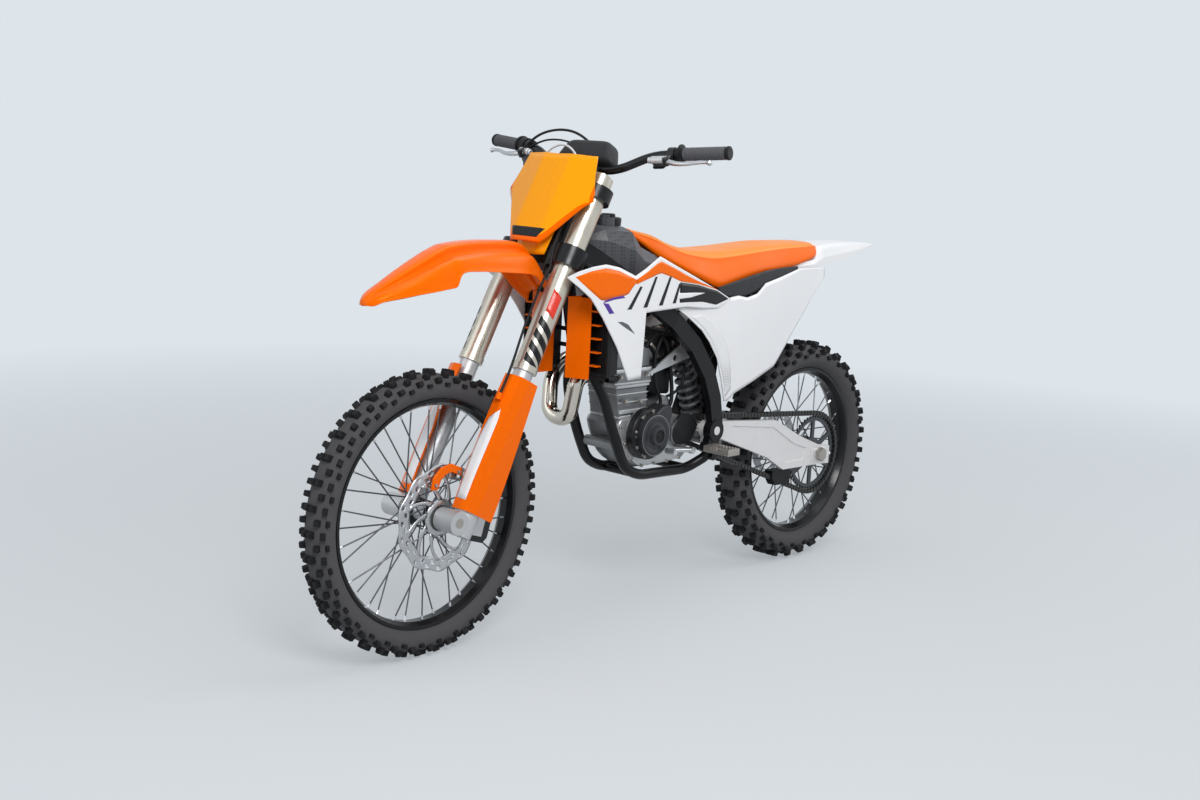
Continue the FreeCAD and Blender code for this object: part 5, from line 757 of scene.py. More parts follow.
seatCover = newPiece("seatCover", seatSurface(seatShape), "chassis", "seat", smooth=60)
print("seat made")

# Bar pad: a foam block in a coated cover, wrapped over the bar

padShape = {"base": 179.6, "tall": 62.0, "half": 90.0, "deep": 32.0, "topShare": 0.76, "corner": 4.6,
            "endPower": 7, "endDeep": 0.25, "sides": 48, "rings": 27, "fill": 1.0}


def padSurface(spec):
    # rings of a superellipse |a|^n + |b|^n = 1 along the bar, narrower with height; the ends shrink by a
    # steep superellipse
    turn = np.linspace(0, 2 * np.pi, spec["sides"], endpoint=False)
    power = 2 / spec["corner"]
    a = np.sign(np.cos(turn)) * np.abs(np.cos(turn)) ** power
    b = np.sign(np.sin(turn)) * np.abs(np.sin(turn)) ** power
    s = np.sin(np.linspace(-np.pi / 2, np.pi / 2, spec["rings"]))
    shrink = ((1 - np.abs(s) ** spec["endPower"]) ** (1 / spec["endPower"]))[:, None]
    up = spec["base"] + spec["tall"] * (0.5 + 0.5 * b[None] * shrink)
    share = 1 - (1 - spec["topShare"]) * (up - spec["base"]) / spec["tall"]
    end = spec["endDeep"] + (1 - spec["endDeep"]) * shrink
    out = spec["deep"] * a[None] * share * end * (shrink > 0.01)
    left = spec["half"] * s[:, None] * share
    points = onFork(up, out, left)
    return [(points.reshape(-1, 3), gridFaces(len(s), len(turn), roundColumns=True), "coatedPadCloth")]


barPad = newPiece("barPadCover", padSurface(padShape), "steering", "bar_pad", smooth=180)
print("bar pad made")

# Printed films on the plastics: plain shapes only. Each is a sheet between two edges, laid on the face that
# carries it

film = {"thick": 0.35, "proud": 0.45, "along": 25, "across": 7}


shroudFace = {"left": 154.6, "leanFrom": 970, "lean": 0.052, "noseFrom": 1080, "noseLong": 145, "noseIn": 7,
              "rearFrom": 940, "rearLong": 100, "footTop": 832.8, "footTall": 187.8, "footIn": 14}
panelFace = {"start": 71, "long": 670, "left": 123.3, "wall": 4, "bulge": 5, "foot": 551, "tall": 360,
             "places": [0, 0.1, 0.21, 0.31, 0.49, 0.634, 1], "shares": [0.7, 0.78, 0.86, 0.92, 0.99, 1, 1]}


def onShroud(x, z, proud):
    # the shroud's face: leans in to the rear, and as a parabola at its nose and its foot
    spec = shroudFace
    nose = np.maximum(0, x - spec["noseFrom"]) / spec["noseLong"]
    rear = np.clip((spec["rearFrom"] - x) / spec["rearLong"], 0, 1)
    down = np.maximum(0, (spec["footTop"] - z) / spec["footTall"])
    lean = np.minimum(0, x - spec["leanFrom"]) * spec["lean"]
    left = spec["left"] + lean - spec["noseIn"] * nose ** 2 - spec["footIn"] * rear * down ** 2
    return np.stack([x, left + proud, z], -1)


def onPanel(x, z, proud):
    # the side panel's outer face: leans in to the tail, and bulges as a parabola over its height
    spec = panelFace
    share = np.interp((x - spec["start"]) / spec["long"], spec["places"], spec["shares"])
    rise = 1 - (2 * (z - spec["foot"]) / spec["tall"] - 1) ** 2
    return np.stack([x, share * spec["left"] + spec["wall"] + spec["bulge"] * rise + proud, z], -1)


def alongEdge(edge, count):  # places at equal steps of length along an edge of straight runs
    edge = np.asarray(edge, float)
    run = np.concatenate([[0], np.cumsum(np.linalg.norm(np.diff(edge, axis=0), axis=1))])
    at = np.linspace(0, run[-1], count)
    return np.stack([np.interp(at, run, edge[:, k]) for k in range(edge.shape[1])], -1)


def filmSheet(low, high, onFace, proud=0.0, count=None):
    # P(s, t) = (1 - t) low(s) + t high(s), then out to the face by its own formula, a bit proud of it
    count = count or film["along"]
    low, high = alongEdge(low, count), alongEdge(high, count)
    t = np.linspace(0, 1, film["across"])[None, :, None]
    flat = (1 - t) * low[:, None] + t * high[:, None]
    points = onFace(flat[..., 0], flat[..., 1], film["proud"] + proud)
    return points.reshape(-1, 3), gridFaces(count, film["across"])


def newFilm(name, parts, body):  # a printed film is an open sheet with a thin wall behind it
    newPiece(name, parts, body, closed=False, wall=film["thick"])


def columnSheet(low, high, onFace, proud=0.0, step=9.0, rows=26):
    # upright columns at each corner and every step between; each runs from the lower edge to the upper one
    low, high = (np.array(sorted(edge), float) for edge in (low, high))
    x = np.unique(np.concatenate([low[:, 0], high[:, 0], np.arange(low[0, 0], low[-1, 0], step)]))
    start, end = np.interp(x, *low.T)[:, None], np.interp(x, *high.T)[:, None]
    z = start + (end - start) * np.linspace(0, 1, rows)
    points = onFace(np.broadcast_to(x[:, None], z.shape), z, proud)
    return points.reshape(-1, 3), gridFaces(len(x), rows)[:, ::-1]


def bothSides(parts):  # the left side's parts and their mirror images
    flip = np.array([1.0, -1.0, 1.0])
    return parts + [(points * flip, faces[:, ::-1], finish) for points, faces, finish in parts]


plastics = {
    "wall": 3.6, "face": 0.3,
    "shroudLow": [(1196, 915), (1154, 889), (1112, 861), (1066, 810), (1008, 733), (960, 648), (903, 648),
                  (901, 817), (832, 820), (730, 824), (659, 817), (586, 814), (528, 834)],
    "shroudHigh": [(1196, 916), (1157, 929), (1111, 939), (1065, 944), (1017, 936), (951, 912), (909, 930),
                   (854, 959), (776, 930), (685, 897), (592, 862), (528, 835)],
    "panelLow": [(30, 878), (200, 728), (297, 632), (481, 570), (510, 551), (522, 551), (547, 618),
                 (572, 675), (608, 720), (645, 755), (698, 789), (749, 817)],
    "panelHigh": [(30, 903), (177, 908), (306, 883), (362, 873), (405, 845), (451, 836), (492, 843),
                  (523, 840), (582, 826), (650, 826), (717, 826), (749, 818)],
    "dotLow": [(698, 796), (645, 764), (608, 730), (572, 686), (545, 630), (522, 562)],
    "dotHigh": [(650, 800), (600, 778), (560, 745), (528, 700), (508, 640), (500, 585)],
}
for name, part, onFace, node in (("shroudShells", "shroud", onShroud, "shrouds"),
                                 ("panelShells", "panel", onPanel, "side_panels")):
    sheet = columnSheet(plastics[part + "Low"], plastics[part + "High"], onFace, plastics["face"])
    newPiece(name, bothSides([sheet + ("glossWhitePlastic",)]), "chassis", node, smooth=50,
             closed=False, wall=plastics["wall"])
dots = filmSheet(plastics["dotLow"], plastics["dotHigh"], onPanel)
newFilm("panelDotFilm", bothSides([dots + ("dottedWhitePlastic",)]), "chassis")

# lower edge, upper edge, finish, how much more proud
shroudFilms = {
    "noseBlock": ([(1169, 915), (1124, 885), (1076, 855), (1019, 859), (979, 867), (960, 886), (945, 897)],
                  [(1170, 916), (1117, 929), (1065, 935), (1017, 927), (983, 915), (958, 907), (946, 903)],
                  "orangePrintFilm", 0),
    "upperStrip": ([(948, 891), (906, 902), (850, 917), (807, 906), (763, 892), (684, 882), (596, 864)],
                   [(948, 903), (906, 921), (853, 948), (776, 922), (745, 910), (685, 890), (596, 865)],
                   "orangePrintFilm", 0),
    "tailBlock": ([(762, 836), (730, 836), (661, 834), (597, 823), (543, 836)],
                  [(765, 890), (684, 880), (640, 870), (596, 861), (543, 838)], "blackPrintFilm", 0),
    "tailSpear": ([(778, 846), (767, 846), (715, 848), (654, 857)],
                  [(778, 862), (740, 861), (700, 860), (654, 858)], "whitePrintFilm", 0.3),
    "accentTop": ([(1070, 849), (1030, 856), (989, 859)], [(1064, 855), (1030, 862), (997, 865)],
                  "violetPrintFilm", 0.2),
    "accentLeg": ([(1070, 849), (1045, 821)], [(1050, 847), (1027, 822)], "violetPrintFilm", 0.2),
    "footSlash": ([(1014, 800), (980, 782), (944, 765)], [(994, 799), (972, 791), (944, 766)],
                  "slatePrintFilm", 0),
    "barOne": ([(979, 829), (932, 886)], [(963, 829), (923, 884)], "blackPrintFilm", 0.2),
    "barTwo": ([(915, 831), (872, 908)], [(899, 831), (863, 908)], "blackPrintFilm", 0.2),
    "barThree": ([(851, 833), (812, 906)], [(835, 833), (803, 906)], "blackPrintFilm", 0.2),
    "barFour": ([(793, 836), (770, 886)], [(779, 836), (762, 886)], "blackPrintFilm", 0.2),
}
films = [filmSheet(low, high, onShroud, proud) + (finish,)
         for low, high, finish, proud in shroudFilms.values()]
newFilm("shroudFilm", bothSides(films), "chassis")

# Number plate: a folded shell whose front is painted amber as painted light, a blank dark badge at its
# foot and two posts to the tubes
plateShape = {
    "rows": [(0, -85, 155), (50, -85, 157), (62, -70, 158), (102, -7, 161), (116, 15, 163), (130, 35, 107),
             (145, 49, 67)],
    "face": 103.0, "flat": 46.0, "lean": 0.24, "bevel": 15.0, "bevelLean": 0.55, "wall": 3.6, "crown": 3.0,
    "badgeLow": [(-41, -73), (41, -73)], "badgeHigh": [(-57, -48), (57, -48)],
    "bevelFrom": 30, "crownHalf": 140, "across": 36, "levels": (0.14, 6, 14), "bare": (3, 2),
    "postFoot": (58.4, 50.15, 81.7), "postRadius": 6.2, "postReach": 41.0,
}


def plateEdge(left):  # the foot and the top of the plate at each place across it
    place, foot, top = np.array(plateShape["rows"], float).T
    return np.interp(np.abs(left), place, foot), np.interp(np.abs(left), place, top)


def onPlate(left, up, proud):
    # flat at its middle, folded back past the flat part and again near its lower edge
    foot, _ = plateEdge(left)
    side = np.maximum(0, np.abs(left) - plateShape["flat"])
    outward = np.clip(np.abs(left) / plateShape["bevelFrom"] - 1, 0, 1)
    low = np.maximum(0, plateShape["bevel"] - (up - foot)) * outward
    out = plateShape["face"] - side * plateShape["lean"] - low * plateShape["bevelLean"]
    return onFork(up, out + proud - plateShape["crown"] * (left / plateShape["crownHalf"]) ** 2, left)


def plateSurface(spec):
    # P(left, t) = foot(left) + t (top(left) - foot(left)), folded by onPlate; painted amber light on all
    # but the foot and the sides
    half = np.linspace(0, spec["rows"][-1][0], spec["across"])
    left = np.concatenate([-half[:0:-1], half])
    foot, top = plateEdge(left)
    share, lowSteps, highSteps = spec["levels"]
    t = np.concatenate([np.linspace(0, share, lowSteps)[:-1], np.linspace(share, 1, highSteps)])
    up = foot[:, None] + (top - foot)[:, None] * t
    places = onPlate(np.broadcast_to(left[:, None], up.shape), up, 0.0)
    faces = gridFaces(len(left), len(t))
    row, column = np.divmod(np.arange(len(faces)), len(t) - 1)
    footRows, sideRows = spec["bare"]
    # the faces painted amber as painted light: all but the foot rows and the side columns
    paintedLitFaces = (column >= footRows) & (row >= sideRows) & (row < len(left) - 1 - sideRows)
    return places.reshape(-1, 3), faces, (["glossOrangePlastic", "paintedLightAmberOrange"], paintedLitFaces.astype(int))


def postPair(up, out, left, radius, sides):
    # a black post on each side, between two places by the steering axis
    return [tubeAlong(onFork(up, out, side * left), radius, sides) + ("mouldedBlackNylon",)
            for side in (1, -1)]


newPiece("numberPlateShell", [plateSurface(plateShape)], "steering", "number_plate",
         smooth=24, closed=False, wall=plateShape["wall"])
badge = filmSheet(plateShape["badgeLow"], plateShape["badgeHigh"], onPlate)
newFilm("numberPlateBadge", [badge + ("blackPrintFilm",)], "steering")
up, out, left = plateShape["postFoot"]
posts = postPair(up, (out, out + plateShape["postReach"]), left, plateShape["postRadius"], 14)
newPiece("numberPlatePosts", posts, "steering")

# The plate's support, a bent shell from under its foot back towards the lower clamp; and the hose's clamp
# on the guard
support = {"low": [(-100, 66, 50), (-104, 66, 22), (-104, 66, -22), (-100, 66, -50)], "wall": 3.0,
           "high": [(-30, 70, 60), (-62, 84, 34), (-62, 84, -34), (-30, 70, -60)], "grid": (25, 7),
           "clamp": (-474, 72, 99), "clampSize": (8.0, 3.4, 8.0), "ear": (-474, 66, 88), "earShare": 0.8}


def supportSheet(spec):  # P(s, t) = (1 - t) low(s) + t high(s) by the steering axis
    count, rows = spec["grid"]
    low, high = (alongEdge(spec[key], count)[:, None] for key in ("low", "high"))
    t = np.linspace(0, 1, rows)[None, :, None]
    bent = np.moveaxis((1 - t) * low + t * high, -1, 0)
    # painted amber like the plate's face: painted light on orange plastic
    return onFork(*bent).reshape(-1, 3), gridFaces(count, rows)[:, ::-1], "paintedLightAmberOrange"


def clampParts(spec):  # a ring turned round the hose, and an ear from it to the guard
    half, bore, size = spec["clampSize"]
    profile = [(-half, bore), (-half, size), (half, size), (half, bore), (-half, bore)]
    ear = onFork(*np.array([spec["clamp"], spec["ear"]], float).T)
    return [turned(profile, onFork(*spec["clamp"]), steerUp, 20) + ("glossOrangePlastic",),
            tubeAlong(ear, half * spec["earShare"], 12) + ("glossOrangePlastic",)]


newPiece("numberPlateSupport", [supportSheet(support)], "steering", smooth=30,
         closed=False, wall=support["wall"])
newPiece("hoseClamp", clampParts(support), "steering")

# Fork tubes: a slanted red block and slanted black bars round the outer tubes, white film on the guards'
# fronts
tubeFilm = {
    "radius": 29.0, "out": 22.0, "left": 95.0,
    "blocks": [  # (angle from the front, place along) of the lower and the upper edge, finish
        ([(32, -236), (84, -250)], [(32, -178), (84, -192)], "redPrintFilm"),
        ([(20, -270), (116, -304)], [(20, -250), (116, -284)], "blackPrintFilm"),
        ([(20, -302), (116, -336)], [(20, -282), (116, -316)], "blackPrintFilm"),
        ([(20, -334), (116, -368)], [(20, -314), (116, -348)], "blackPrintFilm"),
        ([(20, -366), (116, -384)], [(20, -346), (116, -378)], "blackPrintFilm"),
    ],
}


def onTube(side):

    def place(angle, up, proud):  # a circle about the tube's middle: out + r cos a, left + r sin a
        turn = np.radians(angle)
        r = tubeFilm["radius"] + proud
        return onFork(up, tubeFilm["out"] + r * np.cos(turn), side * (tubeFilm["left"] + r * np.sin(turn)))

    return place


guardFilm = {
    "foot": 34.0, "top": 378.0, "inner": 31.3, "wall": 4.0, "bulge": 9.0, "lead": 38.0, "deep": 52.0,
    "proud": 0.3,
    "rows": [(0.0, 0.5, 1.0, 0.2), (0.3, 0.5, 0.92, 0.8), (0.7, 0.5, 0.7, 1.0), (1.0, 0.5, 0.5, 0.5)],
    "low": [(0.07, 0.12), (0.3, 0.08), (0.5, 0.08), (0.66, 0.4), (0.73, 1.3)],
    "high": [(0.07, 1.34), (0.3, 1.42), (0.5, 1.5), (0.66, 1.52), (0.74, 1.36)],
}


def onGuard(side):
    # across the guard its line of five corners is straight between them; along the leg each corner follows
    # a curve
    base = np.array(layout["frontAxle"]) - steerOut * guardFilm["lead"]

    def place(share, corner, proud):
        table = smoothPath(guardFilm["rows"], 8)
        wide, deep, bulge = (np.interp(share, table[:, 0], table[:, k]) for k in (1, 2, 3))
        inner, wall = guardFilm["inner"], guardFilm["wall"] + proud + guardFilm["proud"]
        face = inner + guardFilm["bulge"] * bulge
        outs = [face + wall, face + wall * 1.1, face * 0.75 + wall, face * 0.1, -guardFilm["deep"] * deep]
        lefts = [-inner * wide, inner * 0.3, inner * 0.86 + wall, inner * 1.02 + wall, inner * 1.02 + wall]
        out = sum(np.clip(1 - np.abs(corner - k), 0, 1) * outs[k] for k in range(5))
        left = sum(np.clip(1 - np.abs(corner - k), 0, 1) * lefts[k] for k in range(5))
        up = guardFilm["foot"] + share * (guardFilm["top"] - guardFilm["foot"])
        left = side * (layout["legLeft"] + left)
        return base + up[..., None] * steerUp + out[..., None] * steerOut + left[..., None] * across

    return place


for side, word in ((1, "left"), (-1, "right")):
    sheets = [filmSheet(low, high, onTube(side)) + (finish,) for low, high, finish in tubeFilm["blocks"]]
    newFilm(f"{word}ForkFilm", [(points, faces[:, ::side], finish) for points, faces, finish in sheets],
            "steering")
    points, faces = filmSheet(guardFilm["low"], guardFilm["high"], onGuard(side))
    newFilm(f"{word}GuardFilm", [(points, faces[:, ::-side], "whitePrintFilm")], "steering")
print("films made")

# Front fender: a spine with a deep channel on each side of it, a shoulder and a dropped lip

fenderShape = {
    "stations": [  # place, top, half width, how far the lip drops, depth of the channels as a share
        (1695, 855, 1, 2, 0.0), (1694.5, 861, 8, 8, 0.0), (1692, 868, 15, 15, 0.0),
        (1684, 876, 25, 22, 0.05), (1664, 889, 38, 25, 0.15), (1625, 911, 52, 38, 0.35),
        (1586, 932, 61, 51, 0.55), (1558, 946, 65, 61, 0.7), (1535, 957, 68, 69, 0.8),
        (1510, 969, 70, 77, 0.9), (1490, 977, 71, 82, 1.0), (1480, 981, 71.5, 82, 1.0),
        (1463, 986, 72, 58, 1.0), (1410, 992, 73, 61, 1.0), (1350, 994, 72.5, 66, 1.0),
        (1290, 993, 70, 69, 1.0), (1262, 992, 68, 70, 1.0), (1236, 988, 66, 69, 0.9),
        (1213, 977, 64, 66, 0.8), (1193, 955, 62, 60, 0.7), (1168, 925, 58, 55, 0.5),
        (1126, 879, 52, 42, 0.2),
    ],
    "channel": 19.0, "wall": 3.4, "postAlong": (-140.6, -112.9), "postLeft": 28.5, "postOut": 15.0,
    "postRadius": 8.0, "stepsAcross": 2, "stepsAlong": 5,
}


def fenderSurface(spec):
    # half section: a crowned spine, its undercut wall down to the channel, the shoulder and the side down
    # to the lip; each line follows the stations, straight across the creases and smooth along the fender
    x, top, half, drop, deep = np.array(spec["stations"], float).T
    cut = deep * spec["channel"]
    thin = np.clip(drop / 50, 0, 1)
    outline = [(0 * x, top + 1.5), (half * 0.18, top + 1), (half * 0.33, top - 2 * thin),
               (half * 0.38, top - 6 * thin), (half * 0.37, top - 7 * thin - cut * 0.5),
               (half * 0.41, top - 8 * thin - cut), (half * 0.5, top - 9 * thin - cut * 0.96),
               (half * 0.7, top - 12 * thin - cut * 0.6), (half * 0.86, top - 21 * thin - cut * 0.4),
               (half * 0.955, top - np.maximum(drop * 0.6, 30 * thin)), (half * 1.0, top - drop + 2),
               (half * 1.025, top - drop)]
    section = np.stack([np.stack([x, a, b], -1) for a, b in outline])
    lines = smoothPath(np.moveaxis(smoothPath(section, spec["stepsAcross"]), 0, 1), spec["stepsAlong"])
    whole = np.concatenate([lines[:, :0:-1] * [1, -1, 1], lines], 1)
    return whole.reshape(-1, 3), gridFaces(whole.shape[0], whole.shape[1])[:, ::-1]


newPiece("frontFenderShell", [fenderSurface(fenderShape) + ("glossOrangePlastic",)], "steering",
         "front_fender", smooth=38, closed=False, wall=fenderShape["wall"])
posts = postPair(fenderShape["postAlong"], fenderShape["postOut"], fenderShape["postLeft"],
                 fenderShape["postRadius"], 16)
newPiece("frontFenderPosts", posts, "steering")
print("front fender made")

# The dark cover over the subframe, under the seat's edge

coverShape = {
    "low": [(575, 860), (540, 842), (505, 838), (461, 838), (400, 851), (350, 872), (300, 882), (240, 892),
            (180, 905)],
    "high": [(575, 868), (470, 888), (419, 897), (356, 907), (270, 913), (192, 914)],
    "inside": -6.0, "wall": 3.0, "rows": 8,
}
cover = columnSheet(coverShape["low"], coverShape["high"], onPanel, coverShape["inside"],
                    rows=coverShape["rows"])
newPiece("subframeCovers", bothSides([cover + ("grainedGreyNylon",)]), "chassis",
         closed=False, wall=coverShape["wall"])
print("covers made")

# Small shapes shared by the pieces below

def plateOf(outline, low, high, bevel):
    # a flat block over a star-shaped (x, z) outline: its middle, the edge, the edge below the bevel, the
    # edge drawn in
    edge = np.asarray(outline, float)
    middle = edge.mean(axis=0)
    away = edge - middle
    inner = middle + away * (1 - bevel / np.linalg.norm(away, axis=1, keepdims=True))
    step = np.sign(high - low) * bevel
    rings = [(middle + away * 0, low), (edge, low), (edge, high - step), (inner, high),
             (middle + away * 0, high)]
    points = np.stack([np.stack([ring[:, 0], np.full(len(edge), level), ring[:, 1]], -1)
                       for ring, level in rings])
    return points.reshape(-1, 3), gridFaces(5, len(edge), roundColumns=True)


def roundEdge(outline, radius, steps=5):
    # each corner of a closed outline as an arc-like curve between its two cut points
    p = np.asarray(outline, float)
    before, after = np.roll(p, 1, axis=0) - p, np.roll(p, -1, axis=0) - p
    reach = np.minimum(radius, 0.45 * np.minimum(np.linalg.norm(before, axis=1),
                                                 np.linalg.norm(after, axis=1)))[:, None]
    start = p + before / np.linalg.norm(before, axis=1, keepdims=True) * reach
    end = p + after / np.linalg.norm(after, axis=1, keepdims=True) * reach
    t = np.linspace(0, 1, steps)[None, :, None]
    curve = (1 - t) ** 2 * start[:, None] + 2 * t * (1 - t) * p[:, None] + t ** 2 * end[:, None]
    return curve.reshape(-1, 2)


def hexHead(size, tall):  # a hexagon head on a round washer, along +Y
    return turned([(-1.5, 0), (-1.5, size * 1.25), (0.8, size * 1.25), (0.8, size), (tall - 0.8, size),
                   (tall, size * 0.86), (tall, 0)], sides=6)


def socketHead(size, tall):  # a round head with a hexagonal hole, along +Y
    return turned([(-1.5, 0), (-1.5, size), (tall - 0.6, size), (tall, size * 0.9), (tall, size * 0.52),
                   (tall * 0.4, size * 0.5), (tall * 0.4, 0)], sides=12)


def aroundY(centre, left, radius, count, start=0.0):
    # centre + radius (cos a, sin a), at one distance to the left
    turn = np.radians(start) + 2 * np.pi * np.arange(count) / count
    return np.stack([centre[0] + radius * np.cos(turn), np.full(count, float(left)),
                     centre[1] + radius * np.sin(turn)], -1)


# Engine: covers, their bolts, gasket lines, fins, hoses and the coil lead

engine = {
    "crank": (784.0, 479.0), "clutch": (680.0, 455.0), "pump": (752.0, 422.6), "starter": (695.0, 542.8),
    "caseFace": 56.0, "coverOut": 88.4, "domeOut": 110.0, "bossOut": 121.0, "clutchOut": 112.0,
    "caseEdge": [(590, 425.5), (602, 391.5), (692, 386), (796, 386), (839, 420), (865.5, 470.5),
                 (880, 508.5), (871, 522), (735, 522), (639, 515), (590, 500.5)],
    "arm": [(728, 470), (742, 436), (784, 424), (826, 440), (840, 479), (832, 506), (742, 556), (716, 552),
            (712, 536)],
    "guard": [(580, 485), (610, 519), (655, 521), (688, 486), (688, 455), (662, 434), (606, 441)],
    "headLow": 614.3, "headHigh": 656.3, "barrelLow": 522.3, "edge": 20, "caseMiddle": (735.0, 455.0),
    "boltIn": 0.96, "guardAt": (651, 478), "guardFace": (81.4, 87.4), "guardRings": (30.0, 23.0, 16.0),
    "pumpOut": 100.8, "headBolts": [(776, 636), (830, 636), (884, 636), (800, 566), (860, 570)],
    "boltLeft": 60,
}


def engineLeft(spec):
    # profiles turned about the crank for the ignition cover, flat blocks over outlines for the case, its
    # arm and its guard
    x, z = spec["crank"]
    out, dome, boss = spec["coverOut"], spec["domeOut"], spec["bossOut"]
    centre = (x, 0, z)
    parts = [turned([(out - 24, 60), (out - 24, 69), (out - 4, 69), (out - 2.5, 67.8), (out + 1.2, 67.8),
                     (out + 2, 66.5), (out + 2, 57)], centre, across, 72) + ("blackPaintedCasting",)]
    parts.append(turned([(out, 57.4), (dome - 5, 57), (dome - 1.2, 55.8), (dome + 1.2, 51.5),
                         (dome + 1.4, 43), (dome + 0.6, 41.5), (dome + 0.6, 33), (dome + 1.6, 31),
                         (dome + 1.6, 27.5), (boss - 2, 25.5), (boss + 1.5, 24.2), (boss + 2.2, 22.6),
                         (boss + 2.2, 17.5)], centre, across, 72)
                 + ("charcoalPaintedCasting",))
    # the boss's centre: a shallow plug in black rubber, painted black as the shade of a deep recess
    parts.append(turned([(boss + 2.0, 17.6), (boss + 0.6, 17.2), (boss + 0.4, 7), (boss + 1.4, 6),
                         (boss + 1.4, 0)], centre, across, 48) + ("blackHoseRubber",))
    parts.append(plateOf(roundEdge(spec["arm"], 26), spec["caseFace"], dome - 6, 5.0)
                 + ("charcoalPaintedCasting",))
    parts.append(plateOf(roundEdge(spec["caseEdge"], spec["edge"]), spec["caseFace"] - 8,
                         spec["caseFace"] + 3.5, 2.5)
                 + ("blastedCastAlloy",))
    inside, outside = spec["guardFace"]
    parts.append(plateOf(roundEdge(spec["guard"], 14), inside, outside, 2.0) + ("mouldedBlackNylon",))
    for ring in spec["guardRings"]:
        edge = aroundY(spec["guardAt"], 0, ring, 40)[:, [0, 2]]
        parts.append(plateOf(edge, outside - 1.4, outside + (38 - ring) * 0.09, 1.2)
                     + ("mouldedBlackNylon",))
    starter = (spec["starter"][0], 0, spec["starter"][1])
    parts.append(turned([(20, 0), (20, 27), (30, 28.2), (52, 28.2), (55, 25), (56.5, 17), (58.5, 16),
                         (58.5, 8), (57.5, 7), (57.5, 0)], starter, across, 36) + ("dieCastEngineAlloy",))
    head = socketHead(4.6, 5.0)
    edge = np.array(spec["caseEdge"] + spec["caseEdge"][:1]) * spec["boltIn"]
    edge = alongEdge(edge + np.array(spec["caseMiddle"]) * (1 - spec["boltIn"]), 15)[:-1, [0, 0, 1]]
    # the fourth bolt of the cover would lie under the arm
    spots = np.delete(aroundY(spec["crank"], out + 1.4, 62.0, 9, 12), 3, axis=0)
    spots = np.concatenate([spots, edge * [1, 0, 1] + [0, spec["caseFace"] + 3.0, 0]])
    parts.append(atEach(head, spots) + ("zincPlatedSteel",))
    return parts


def engineRight(spec):
    # profiles turned about the clutch and the pump, a flat block over the case's outline, and their bolts
    (x, z), (pumpX, pumpZ) = spec["clutch"], spec["pump"]
    out, pumpOut, face = -spec["clutchOut"], -spec["pumpOut"], -spec["caseFace"]
    centre = (x, out, z)
    parts = [turned([(17, 70), (17, 75), (0, 75), (-1.4, 73), (-1.4, 63.5)], centre, across, 72)
             + ("blackPaintedCasting",),
             turned([(2, 64), (-0.6, 63), (-2.2, 58), (-2.2, 40), (-1.0, 38), (-1.0, 26), (-2.4, 24),
                     (-2.4, 0)], centre, across, 72) + ("charcoalPaintedCasting",)]
    parts.append(turned([(12, 34), (-1, 34), (-3, 31), (-3, 16), (-9, 14), (-9, 0)],
                        (pumpX, pumpOut, pumpZ), across, 48)
                 + ("dieCastEngineAlloy",))
    parts.append(plateOf(roundEdge(spec["caseEdge"], spec["edge"]), face + 8, face - 3.5, 2.5)
                 + ("blastedCastAlloy",))
    spots = np.concatenate([aroundY(spec["clutch"], out + 15.6, 79.0, 9, 8),
                            aroundY(spec["pump"], pumpOut - 2.4, 28.0, 4, 45),
                            aroundY(spec["clutch"], out - 1.2, 68.5, 9, 20)])
    parts.append(atEach(socketHead(4.4, 5.0), spots, [0, -1, 0]) + ("zincPlatedSteel",))
    return parts


def engineTop(spec):
    # the barrel's flanges and fins as thin blocks round it, each (foot, height, front, rear, half width),
    # and bolts
    parts = []
    blocks = [(spec["barrelLow"] + 1, 6, 874, 757, 53.5), (spec["barrelLow"] + 14, 9, 874, 757, 55.5),
              (spec["headLow"] - 8, 7, 893, 759, 58.5), (spec["headLow"] + 1, 5, 903, 755, 60.0),
              (spec["headHigh"] - 9, 9, 906, 753, 59.5)]
    blocks += [(spec["barrelLow"] + 42 + 22 * i, 3.0, 880 + 6 * i, 757, 54.0) for i in range(2)]
    for low, tall, ahead, back, half in blocks:
        edge = roundEdge([(back, -half), (ahead, -half), (ahead, half), (back, half)], 9)
        points, faces = plateOf(edge, 0, tall, 0.9)
        parts.append((points[:, [0, 2, 1]] + [0, 0, low], faces, "blastedCastAlloy"))
    spots = np.array([(x, side * spec["boltLeft"], z) for side in (1, -1) for x, z in spec["headBolts"]],
                     float)
    ways = np.sign(spots) * across
    parts.append(atEach(hexHead(6.0, 6.5), spots, ways) + ("zincPlatedSteel",))
    return parts


for name, make in (("engineLeftCovers", engineLeft), ("engineRightCovers", engineRight),
                   ("cylinderFins", engineTop)):
    newPiece(name, make(engine), "chassis", smooth=34)

# Hoses and boots round the engine: black rubber tubes with steel clamps
tubes = {
    "coolantLow": ([(1016, 62, 700), (1000, 66, 668), (950, 68, 640), (903, 56, 632), (880, 40, 634)],
                   10.0),
    "coolantHigh": ([(1016, 70, 840), (985, 66, 800), (940, 50, 740), (905, 40, 700), (880, 32, 690)], 9.5),
    "coilLead": ([(850, 20, 800), (842, 26, 760), (836, 20, 722), (834, 10, 700)], 4.0),
    "breather": ([(770, 40, 706), (740, 50, 735), (700, 52, 720), (672, 52, 640), (668, 58, 560),
                  (690, 60, 530)], 5.5),
    "loom": ([(640, 44, 800), (700, 58, 760), (748, 62, 690), (744, 62, 610), (720, 64, 560),
              (742, 66, 520)], 4.5),
    "intakeBoot": ([(722, 0, 682), (700, 0, 694), (668, 0, 712), (640, 0, 728)], 33.0),
    "starterLead": ([(662, 30, 560), (640, 46, 575), (612, 48, 600), (600, 40, 650)], 4.0),
}
hoseClamps = {"leastRadius": 8, "places": (4, -6), "band": [(-4, 0.9), (-4, 1.12), (4, 1.12), (4, 0.9)]}
tray = {"edge": [(664, 572), (748, 580), (752, 664), (700, 672), (664, 640)], "sides": (-44, 46),
        "round": 10, "bevel": 4}


